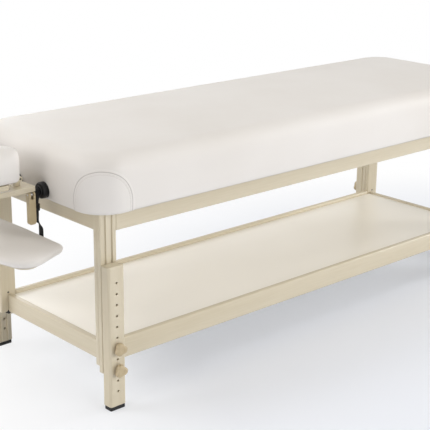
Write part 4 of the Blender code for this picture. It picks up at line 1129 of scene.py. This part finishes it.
bright_along = {axis: steel("bright_steel", BRIGHT, BRIGHT_DEEP, 0.24, axis) for axis in "XY"}
for flank in ("near", "far"):
    steel_bar(f"slide_rod_{flank}", f"cradle_rod_{flank}", "X", ROD_CHAMFER, bright_along["X"])
lacquered_plank("carriage_bar", "cross_bar", "Y", body="cradle")

# The cradle's fixed base: a U of lacquered board, open for the face, screwed on the cross bar. Two lugs
# hold the hinge pin, and two blocks near the arms' ends carry the platform when it is level.
BASE_OVER_BAR = 0.0155
BASE_ARM_WIDE = 0.036
BASE_BACK_DEEP = 0.048
BASE_EDGE = 0.002
BASE_ROUNDS = (0.003, 0.003, 0.008, 0.006, 0.012, 0.012, 0.006, 0.008)
LUG_WIDE = 0.012
LUG_RADIUS = 0.0085
LUG_EDGE = 0.0012
REST_LONG = 0.025
REST_INSET = 0.006
REST_IN = 0.069
REST_SIDE = 0.002
REST_ROUND = 0.003
REST_EDGE = 0.0006
PIN_PLAY = 0.0003
PIN_CHAMFER = 0.0005
TONGUE_WIDE = 0.014
tongue_in = box("hinge_pin")[1][1] - TONGUE_WIDE


def arc(x, y, radius, first, last, count):
    """Points round a centre, from one angle to another in degrees."""
    turn = np.radians(np.linspace(first, last, count + 1))
    return np.stack([x + radius * np.cos(turn), y + radius * np.sin(turn)], 1)


def base_frame():
    """The U with its lugs and blocks joined on."""
    low, high = box("base_frame")
    pin = box("hinge_pin").mean(0)
    half = high[1]
    top = box("cross_bar")[1][2] + PIN_PLAY + BASE_OVER_BAR
    back = high[0] - BASE_BACK_DEEP
    arm_in = half - BASE_ARM_WIDE
    corners = [(high[0], -half), (high[0], half), (low[0], half), (low[0], arm_in)]
    corners += [(back, arm_in), (back, -arm_in), (low[0], -arm_in), (low[0], -half)]
    board = slab(soften(corners, BASE_ROUNDS, 6), low[2], top, BASE_EDGE)
    root = top - BASE_EDGE * 2
    arch = arc(pin[0], pin[2], LUG_RADIUS, 180, 0, 16)
    lug = np.concatenate([[(pin[0] - LUG_RADIUS, root)], arch, [(pin[0] + LUG_RADIUS, root)]])[::-1]
    xs = (low[0] + REST_INSET, low[0] + REST_INSET + REST_LONG)
    additions = []
    for side in (-1, 1):
        outer = side * (tongue_in - PIN_PLAY)
        additions.append(slab(lug, *sorted((outer, outer - side * LUG_WIDE)), LUG_EDGE, "Y"))
        ys = sorted((side * REST_IN, side * (half - REST_SIDE)))
        block = rounded(*zip(xs, ys), REST_ROUND, 3)
        additions.append(slab(block, root, box("tilt_platform")[0][2] - PIN_PLAY, REST_EDGE))
    base = carved(board, (), additions)
    make("cradle_base", base, lacquer_along["X"], "base_frame", body="cradle", sharp=35)


base_frame()
steel_bar("tilt_pin", "hinge_pin", "Y", PIN_CHAMFER, dark_steel, 32)

# The tilting platform: a horseshoe of lacquered board that carries the face cushion. It is glued up with
# two tongues, which are bored for the hinge pin and turn on it between the base's lugs.
PLATFORM_EDGE = 0.003
PLATFORM_TIP_INSET = 0.040
PLATFORM_CORNER = 0.012
PLATFORM_IN = 0.063
FACE_HALF_WIDE = 0.145
BEND_STEPS = 24
TIP_STEPS = 6


def horseshoe(bend_x, tip_x, outer, inner, corner):
    """Plan of a horseshoe: two straight arms with rounded tips, joined by half rings."""
    end = tip_x - corner
    return np.concatenate(
        [
            arc(end, -outer + corner, corner, 270, 360, TIP_STEPS),
            arc(end, -inner - corner, corner, 0, 90, TIP_STEPS),
            arc(bend_x, 0, inner, 270, 90, BEND_STEPS),
            arc(end, inner + corner, corner, 270, 360, TIP_STEPS),
            arc(end, outer - corner, corner, 0, 90, TIP_STEPS),
            arc(bend_x, 0, outer, 90, 270, BEND_STEPS),
        ]
    )


def tilt_platform():
    """The horseshoe with its tongues joined on, which end in a half circle round the pin."""
    low, high = box("tilt_platform")
    cushion = box("face_cushion")
    pin = box("hinge_pin").mean(0)
    tip_x = cushion[1][0] - PLATFORM_TIP_INSET
    plan = horseshoe(cushion[0][0] + FACE_HALF_WIDE, tip_x, high[1], PLATFORM_IN, PLATFORM_CORNER)
    board = slab(plan, low[2], high[2], PLATFORM_EDGE)
    round_end = arc(pin[0], pin[2], (high[2] - low[2]) / 2, -90, 90, 16)
    root = tip_x - 2 * PLATFORM_CORNER
    outline = np.concatenate([[(root, low[2])], round_end, [(root, high[2])]])
    spans = [sorted((side * tongue_in, side * (tongue_in + TONGUE_WIDE))) for side in (-1, 1)]
    body = carved(board, (), [slab(outline, *span, LUG_EDGE, "Y") for span in spans])
    make("tilt_board", body, lacquer_along["X"], "tilt_platform", body="face_platform", sharp=35)


tilt_platform()

# The face cushion: a foam horseshoe in the same vinyl, full at the sides, domed on top, and held to the
# platform by hook tape. A cloth simulation fills its cover, and painted shade then darkens the foot of its
# side, where side and sole meet.
FACE_ARM_WIDE = 0.094
FACE_SIDES = 56
FACE_TIP_STEPS = 14
FACE_ARM_STEPS = 16
FACE_BEND_STEPS = 56
FACE_TIP_LONG_POWER = 0.9
FACE_TIP_WIDE_POWER = 0.5
FACE_FLANK_POWER = 0.5
FACE_TOP_POWER = 0.62
FACE_SOLE_POWER = 0.30
FACE_TIP_HIGH = 0.55
FACE_FULL_HIGHER = 0.45
FACE_SHRINK = 0.0030
FACE_CAP = 0.0075
FACE_SHADE_HIGH = 0.004
CLOTH_VOXEL = 0.005
CLOTH_QUALITY = 6
CLOTH_PRESSURE = 4
CLOTH_FRAMES = 20
SOLE_NEAR = 0.003


def baked(piece):
    """Turns a piece's modifiers into its mesh."""
    bpy.context.view_layer.update()
    mesh = bpy.data.meshes.new_from_object(piece.evaluated_get(bpy.context.evaluated_depsgraph_get()))
    piece.modifiers.clear()
    old, piece.data = piece.data, mesh
    bpy.data.meshes.remove(old)
    return mesh


def swelling(piece, sole):
    """How far each point of a cover moves while a cloth simulation, with even pressure and no gravity,
    fills it and its sole stays put."""
    held = piece.vertex_groups.new(name="sole")
    held.add(np.flatnonzero(sole).tolist(), 1, "REPLACE")
    settings = piece.modifiers.new("cover", "CLOTH").settings
    settings.quality = CLOTH_QUALITY
    settings.use_pressure = True
    settings.uniform_pressure_force = CLOTH_PRESSURE
    settings.effector_weights.gravity = 0
    settings.vertex_group_mass = held.name
    for step in range(1, CLOTH_FRAMES + 1):
        bpy.context.scene.frame_set(step)
    swollen = piece.evaluated_get(bpy.context.evaluated_depsgraph_get()).data
    moved = point_values(swollen, "co") - point_values(piece.data, "co")
    piece.modifiers.clear()
    bpy.context.scene.frame_set(1)
    return moved


def plumped(piece):
    """Fills a pad's cover: it starts smaller and swells, but no point moves more than the cap or leaves
    the first shape's box. The field of painted shade along the foot comes last, since a new mesh has none."""
    mesh = piece.data
    material = mesh.materials[0]
    start = point_values(mesh, "co")
    low, high = start.min(0), start.max(0)
    inner = start - point_values(mesh, "normal") * FACE_SHRINK
    inner[:, 2] = np.where(start[:, 2] < low[2] + SOLE_NEAR, start[:, 2], inner[:, 2])
    mesh.vertices.foreach_set("co", inner.ravel())
    voxels = piece.modifiers.new("voxels", "REMESH")
    voxels.mode = "VOXEL"
    voxels.voxel_size = CLOTH_VOXEL
    mesh = baked(piece)
    inner = point_values(mesh, "co")
    sole = inner[:, 2] < low[2] + SOLE_NEAR
    moved = swelling(piece, sole)
    far = np.linalg.norm(moved, axis=1, keepdims=True)
    placed = inner + moved * np.minimum(1, FACE_CAP / np.maximum(far, 1e-9))
    placed = np.clip(placed, low, high)
    placed[sole, 2] = low[2]
    mesh.vertices.foreach_set("co", placed.ravel())
    mesh.update()
    piece.modifiers.new("smooth", "SUBSURF").levels = 1
    mesh = baked(piece)
    # Painted shade: the cover darkens over its lowest few millimetres, along the foot where it sits on the
    # platform.
    rise = point_values(mesh, "co")[:, 2] - low[2]
    seam = mesh.attributes.new("seam", "FLOAT", "POINT")
    seam.data.foreach_set("value", np.clip(1 - rise / FACE_SHADE_HIGH, 0, 1).astype(np.float32))
    mesh.shade_smooth()
    mesh.materials.clear()
    mesh.materials.append(material)


def horseshoe_line(reach, tip_x, bend_x):
    """Stations along the middle of the pad: x and y of the centre, the outward direction, and how full it
    is. Each tip fills out by a quarter turn, and both arms run into a half ring."""
    half = FACE_ARM_WIDE / 2
    turn = np.radians(np.linspace(90, 0, FACE_TIP_STEPS + 1))[:-1]
    straight = np.linspace(tip_x - half, bend_x, FACE_ARM_STEPS + 1)[:-1]
    arm_x = np.concatenate([tip_x - half + half * np.sin(turn) ** FACE_TIP_LONG_POWER, straight])
    full = np.concatenate([np.cos(turn) ** FACE_TIP_WIDE_POWER, np.ones(FACE_ARM_STEPS)])
    turn = np.linspace(0, math.pi, FACE_BEND_STEPS + 1)
    out_x, out_y = -np.sin(turn), -np.cos(turn)
    bend = np.stack([bend_x + reach * out_x, reach * out_y, out_x, out_y, np.ones_like(turn)], 1)
    one = np.ones_like(arm_x)
    near = np.stack([arm_x, -reach * one, 0 * one, -one, full], 1)
    far = (near * (1, -1, 1, -1, 1))[::-1]
    return np.concatenate([near, bend, far])


def face_cushion():
    """A full section with blunt corners, carried round the horseshoe's middle line and shrinking at its
    tips."""
    low, high = box("face_cushion")
    half = FACE_ARM_WIDE / 2
    line = horseshoe_line(FACE_HALF_WIDE - half, high[0], low[0] + FACE_HALF_WIDE)
    turn = turns(FACE_SIDES)
    c, s = np.cos(turn), np.sin(turn)
    centre_x, centre_y, out_x, out_y, full = line.T[..., None]
    wide = half * full * (np.sign(c) * np.abs(c) ** FACE_FLANK_POWER)
    dome = np.abs(s) ** FACE_TOP_POWER * (FACE_TIP_HIGH + FACE_FULL_HIGHER * full)
    rise = np.where(s > 0, dome, -np.abs(s) ** FACE_SOLE_POWER)
    z = low[2] + (high[2] - low[2]) * (1 + rise) / 2
    grid = sheet_of(np.stack([centre_x + out_x * wide, centre_y + out_y * wide, z], -1))
    piece = make("face_pad", grid, vinyl_finish, "face_cushion", body="face_platform", sharp=80)
    plumped(piece)


face_cushion()

# The cam clamp at the bar's near end: a beige lever with a forked round head, the eye bolt that it pulls
# on, and the pin between them. Swinging the lever down squeezes the bar on the rods.
LEVER_EDGE = 0.0016
LEVER_LOW_ROUND = 0.0100
LEVER_SLOT = 0.0085
PRONG_ROUND = 0.0036
SLOT_LOW = 0.014
SLOT_ROUND = 0.002
CUT_EDGE = 0.0005
CAM_PIN_RADIUS = 0.002
CAM_PIN_HEAD = 0.0006
CAM_PIN_HEAD_HIGH = 0.0004
BEIGE = (0.50, 0.41, 0.25, 1)
BEIGE_DEEP = (0.44, 0.355, 0.21, 1)
EYE_RADIUS = 0.0058
EYE_WIDE = 0.0072
EYE_EDGE = 0.0008
SHANK_RADIUS = 0.0025


def cam_clamp():
    """The lever is a board between two half circles, held inside its side view and slotted for the eye."""
    low, high = box("cam_lever")
    pin = box("cam_pin").mean(0)
    half = (high[1] - low[1]) / 2
    top = arc(pin[1], pin[2], half, 0, 180, 16)
    bottom = arc(pin[1], low[2] + half, half, 180, 360, 16)
    lever = slab(np.concatenate([top, bottom]), low[0], high[0], LEVER_EDGE, "X")
    across = (low[1] - CUT_PAST, high[1] + CUT_PAST, CUT_EDGE, "Y", 1)
    rounds = (LEVER_LOW_ROUND, LEVER_LOW_ROUND, PRONG_ROUND, PRONG_ROUND)
    face = slab(rounded((low[0], low[2]), (high[0], pin[2] + half), rounds, 8), *across)
    slot_low = (pin[0] - LEVER_SLOT / 2, pin[2] - SLOT_LOW)
    slot_high = (pin[0] + LEVER_SLOT / 2, high[2] + half)
    slot = slab(rounded(slot_low, slot_high, SLOT_ROUND, 3), *across)
    make("clamp_lever", carved(lever, [slot], keep=[face]), beige_finish, "cam_lever", body="cam", sharp=35)
    rise, r, head = CAM_PIN_HEAD_HIGH, CAM_PIN_RADIUS, CAM_PIN_RADIUS + CAM_PIN_HEAD
    wide = (high[0] - low[0]) / 2 + rise
    stations = [(-wide, 0), (-wide, r), (rise - wide, head), (2 * rise - wide, head), (2 * rise - wide, r)]
    stations += [(-along, radius) for along, radius in reversed(stations)]
    pin_form = sheet_of(turned(stations, pin, "X", HOLE_SIDES), "point")
    make("clamp_pin", pin_form, bright_along["X"], "cam_pin", body="cam", sharp=30)
    shank = round_bar(pin, "Y", 0, box("cam_bolt")[1][1] - pin[1], SHANK_RADIUS)
    ring = arc(pin[1], pin[2], EYE_RADIUS, 0, 360, 32)[:-1]
    eye = slab(ring, pin[0] - EYE_WIDE / 2, pin[0] + EYE_WIDE / 2, EYE_EDGE, "X", 3)
    make("eye_bolt", carved(eye, (), [shank]), bright_along["Y"], "cam_bolt", body="cradle", sharp=35)


beige_finish = moulded("beige_plastic", BEIGE, BEIGE_DEEP, 0.42)
cam_clamp()

# The arm rest: a crowned pad in the same vinyl, stapled over a lacquered board, which hangs under the
# cradle. Its plan is drawn round six discs: full in front, square behind, and swelling a little at the
# middle of both sides.
ARM_DISCS = np.array(
    [
        (0.0300, 0, 0.0300), (0.1225, 0, 0.1050), (0.0245, 0.1720, 0.0215), (0.0245, -0.1720, 0.0215),
        (0.1315, 0.1850, 0.0550), (0.1315, -0.1850, 0.0550),
    ]
)
ARM_SIDES = 220
ARM_DIRECTIONS = 1440
ARM_ROLL_STEPS = 10
ARM_CROWN_RINGS = 15
ARM_BOARD_INSET = 0.0205
ARM_BOARD_EDGE = 0.002
PAD_ROLL = np.array([0.036, 0.0165])
# How high the painted contact shade at the pad's foot reaches.
PAD_SHADE_HIGH = 0.0050
PAD_CROWN = 0.005
PAD_FOOT = (
    (0.022, 0), (0.012, 0), (0.007, 0.0008), (0.004, 0.0026), (0.0022, 0.0052), (0.0008, 0.009), (0, 0.0135),
)


def arm_plan(rear):
    """Points and outward directions, evenly spaced round the discs' common outline. Each direction's point
    is the furthest one that any disc reaches. A disc is given as set back from the rear, offset, radius."""
    turn = np.linspace(0, math.tau, ARM_DIRECTIONS + 1)
    out = np.stack([np.cos(turn), np.sin(turn)], 1)
    centres = np.stack([rear - ARM_DISCS[:, 0], ARM_DISCS[:, 1]], 1)
    best = np.argmax(out @ centres.T + ARM_DISCS[:, 2], 1)
    points = centres[best] + out * ARM_DISCS[best, 2:]
    run = run_along(points)
    even = np.linspace(0, run[-1], ARM_SIDES, endpoint=False)
    x, y, out_x, out_y = (np.interp(even, run, values) for values in (*points.T, *out.T))
    return np.stack([x, y], 1), unit(np.stack([out_x, out_y], 1))


def arm_rest():
    """The board, and the pad as rings: out under the sole, up the rolled side and in over the crown."""
    board_low, board_high = box("arm_rest_board")
    low, high = box("arm_rest_pad")
    edge, out = arm_plan(high[0])
    board = slab(edge - out * ARM_BOARD_INSET, board_low[2], board_high[2], ARM_BOARD_EDGE)
    make("arm_rest_panel", board, lacquer_along["Y"], "arm_rest_board", body="arm_rest", sharp=35)
    rim_high = high[2] - PAD_CROWN
    bend = np.radians(np.linspace(0, 90, ARM_ROLL_STEPS + 1))
    roll = PAD_ROLL * (1 - np.stack([np.cos(bend), np.sin(bend)], 1))
    section = [(inset, low[2] + rise) for inset, rise in PAD_FOOT]
    section += [(inset, rim_high - fall) for inset, fall in roll]
    rings = [np.c_[edge - out * inset, np.full(ARM_SIDES, z)] for inset, z in section]
    middle = (low + high)[:2] / 2

    def closed_in(ring, share, level):
        """A ring drawn in to a share of its reach round the pad's middle, at a level."""
        return np.c_[middle + (ring[:, :2] - middle) * share, np.full(ARM_SIDES, level)]

    sole = [closed_in(rings[0], share, low[2]) for share in (0.0, 0.5)]
    shares = np.linspace(1, 0, ARM_CROWN_RINGS + 1)[1:]
    crown = [closed_in(rings[-1], share, rim_high + PAD_CROWN * (1 - share * share)) for share in shares]
    points = np.stack(sole + rings + crown)
    # Painted shade: the pad darkens over its lowest few millimetres, along the foot where it sits on the
    # board.
    seam = np.clip(1 - (points[..., 2] - low[2]) / PAD_SHADE_HIGH, 0, 1).ravel()
    grid = sheet_of(points, "point")
    piece = make("arm_pad", grid, vinyl_finish, "arm_rest_pad", body="arm_rest", sharp=80, seam=seam)


arm_rest()

# Four black webbing straps carry the arm rest, and turn in under its board. The near rear one is sewn into
# a loop round its rod, and turns a quarter below its buckle; the others come down from under the base.
STRAP_WIDE = 0.022
STRAP_THICK = 0.0016
STRAP_STEP = 0.0012
STRAP_EASE = 4
STRAP_TIP = 0.045
LOOP_ROUND = ROD_RADIUS + 0.0012
LOOP_CLOSE = 0.028
LOOP_STEPS = 41
TAIL_END = 0.0345
TWIST_START = 0.062
TWIST_END = 0.114
TWIST_STEPS = 12
WEAVE = (
    (0.0385, 1.0), (0.0422, -1.4), (0.0455, -3.6), (0.0485, -3.6), (0.0518, -1.4), (0.0555, 1.0),
    (TWIST_START, 0),
)
WEAVE_DEEP = 0.0009
RIBS = 800
TACKS = 9
TACK_SPREAD = 0.4
TACK_ROWS = (0.0285, 0.0330)
TACK_LONG = (0.0008, 0, -0.0026)
TACK_THREAD = (0.02, 0.02, 0.021, 1)


def webbing():
    """Black polyester webbing: a herringbone of ribs, aslant both ways from the strap's middle line."""
    cloth = Finish("black_webbing", IOR=1.5, Sheen_Weight=0.08, Sheen_Roughness=0.5, Specular_IOR_Level=0.25)
    map_place = cloth.field("strap_map", "Vector")
    across, along = (cloth.node("SeparateXYZ", {}, {0: map_place}, axis) for axis in (0, 1))
    ribs = ((along + across.maths("ABSOLUTE")) * RIBS).maths("PINGPONG", 0.5)
    fuzz = cloth.noise(1600)
    weave = ribs * 1.5 + fuzz * 0.25
    return cloth.finish(
        Base_Color=cloth.between(weave, (0.003, 0.003, 0.0035, 1), (0.012, 0.012, 0.0125, 1)),
        Roughness=cloth.ranged(fuzz, 0.7, 0.9, 0, 1),
        Normal=cloth.bumped(weave, 0.0003, 0.8),
    )


def strap(node, points, across):
    """A strap along a line of points: every bend is eased, and a flat section with round edges is carried
    along. Its map holds how far each point lies across it and along it."""
    points = np.array(points, float)
    across = np.broadcast_to(np.array(across, float), points.shape)
    run = run_along(points)
    even = np.linspace(0, run[-1], int(run[-1] / STRAP_STEP) + 1)
    line = np.stack([np.interp(even, run, column) for column in np.concatenate([points, across], 1).T], 1)
    for _ in range(STRAP_EASE):
        line[1:-1] = line[:-2] / 4 + line[1:-1] / 2 + line[2:] / 4
    centre, across = line[:, :3], line[:, 3:]
    ahead = unit(np.gradient(centre, axis=0))
    across = unit(across - ahead * (across * ahead).sum(1, keepdims=True))
    through = np.cross(ahead, across)
    turn = np.radians(np.linspace(-90, 90, 5))
    u = STRAP_WIDE / 2 - STRAP_THICK / 2 * (1 - np.cos(turn))
    v = STRAP_THICK / 2 * np.sin(turn)
    u, v = np.concatenate([u, -u[::-1]])[:, None], np.concatenate([v, v[::-1]])[:, None]
    grid = sheet_of(centre[:, None] + across[:, None] * u + through[:, None] * v)
    u, way = np.broadcast_arrays(u[:, 0], even[:, None])
    strap_map = np.stack([u, way, 0 * u], -1).reshape(-1, 3)
    piece = make(f"{node}_webbing", grid, webbing_finish, node, body=None, strap_map=strap_map)
    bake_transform(piece)


def near_rear_strap():
    """From the tail beside the buckle, up round the rod, down through the buckle, and a quarter turn to the
    board. Two rows of stitches close the loop."""
    low, high = box("rear_strap_near")
    x = box("buckle_near").mean(0)[0]
    _, y, z = box("cradle_rod_near").mean(0)
    lean = math.acos(LOOP_ROUND / LOOP_CLOSE)
    turn = np.linspace(lean - math.pi / 2, 3 * math.pi / 2 - lean, LOOP_STEPS)
    path = [(x, y + 3 * WEAVE_DEEP, z - TAIL_END), (x, y + WEAVE_DEEP, z - LOOP_CLOSE)]
    path += [(x, y + LOOP_ROUND * math.cos(t), z + LOOP_ROUND * math.sin(t)) for t in turn]
    path.append((x, y - WEAVE_DEEP, z - LOOP_CLOSE))
    path += [(x, y + deep * WEAVE_DEEP, z - fall) for fall, deep in WEAVE]
    across = [(1, 0, 0)] * len(path)
    back = high[0] - STRAP_THICK / 2
    for share in np.linspace(0, 1, TWIST_STEPS + 1)[1:]:
        eased = share * share * (3 - 2 * share)
        path.append((x + (back - x) * eased, y, z - TWIST_START - (TWIST_END - TWIST_START) * share))
        across.append((math.cos(math.pi / 2 * eased), math.sin(math.pi / 2 * eased), 0))
    bottom = low[2] + STRAP_THICK / 2
    path += [(back, y, bottom), (low[0], y, bottom)]
    across += [(0, 1, 0)] * 2
    strap("rear_strap_near", path, across)
    near = y - WEAVE_DEEP - STRAP_THICK / 2
    tacks = np.linspace(-TACK_SPREAD, TACK_SPREAD, TACKS) * STRAP_WIDE
    starts = np.array([(x + side, near, z - fall) for fall in TACK_ROWS for side in tacks])
    row = stitches(starts, starts + TACK_LONG, np.tile((0.0, -1.0, 0.0), (len(starts), 1)))
    black_thread = thread("black_thread", "black_webbing", TACK_THREAD)
    make("rear_strap_tack", row, black_thread, body="cradle", sharp=80)


def far_rear_strap():
    """From under the base at the hinge, aslant to the board's rear edge, and in under it."""
    low, high = box("rear_strap_far")
    hinge = box("hinge_pin").mean(0)[0]
    inner, outer = low[1] + STRAP_WIDE / 2, high[1] - STRAP_WIDE / 2
    top, bottom = high[2] - STRAP_THICK / 2, low[2] + STRAP_THICK / 2
    back = high[0] - STRAP_THICK / 2
    rest = box("arm_rest_pad")[1][2]
    path = [(low[0], inner, top), (hinge, inner, top), (back, outer, rest), (back, outer, bottom)]
    path.append((back - STRAP_TIP, outer, bottom))
    strap("rear_strap_far", path, (0, 1, 0))


def front_strap(flank):
    """From under a base arm, straight down before the pad, and in under the board."""
    low, high = box(f"front_strap_{flank}")
    y = (low[1] + high[1]) / 2
    front, top, bottom = low[0] + STRAP_THICK / 2, high[2] - STRAP_THICK / 2, low[2] + STRAP_THICK / 2
    path = [(high[0], y, top), (front, y, top), (front, y, bottom), (high[0], y, bottom)]
    strap(f"front_strap_{flank}", path, (0, 1, 0))


webbing_finish = webbing()
near_rear_strap()
far_rear_strap()
for flank in ("near", "far"):
    front_strap(flank)

# The near rear strap's buckle: a moulded ladder of three bars, two slots apart. The strap is woven through
# its slots, and pulling the tail sets how low the arm rest hangs.
BUCKLE_DEEP = 0.0022
BUCKLE_SIT = 0.0012
BUCKLE_EDGE = 0.0007
BUCKLE_ROUND = 0.003
BUCKLE_SLOT = (0.0115, 0.0031)
BUCKLE_SLOT_OFF = 0.0046
BUCKLE_SLOT_ROUND = 0.0012
BUCKLE_SLOT_EDGE = 0.0003

low, high = box("buckle_near")
x, y, z = (low + high) / 2
face = y - BUCKLE_SIT - BUCKLE_DEEP / 2
outline = rounded((low[0], low[2]), (high[0], high[2]), BUCKLE_ROUND, 5)
plate = slab(outline, face, face + BUCKLE_DEEP, BUCKLE_EDGE, "Y")
wide, tall = BUCKLE_SLOT
slots = []
for middle in (z - BUCKLE_SLOT_OFF, z + BUCKLE_SLOT_OFF):
    plan = rounded((x - wide, middle - tall), (x + wide, middle + tall), BUCKLE_SLOT_ROUND, 3)
    slots.append(slab(plan, low[1] - CUT_PAST, high[1] + CUT_PAST, BUCKLE_SLOT_EDGE, "Y", 1))
make("ladder_buckle", carved(plate, slots), black_finish, "buckle_near", body="cradle", sharp=35)
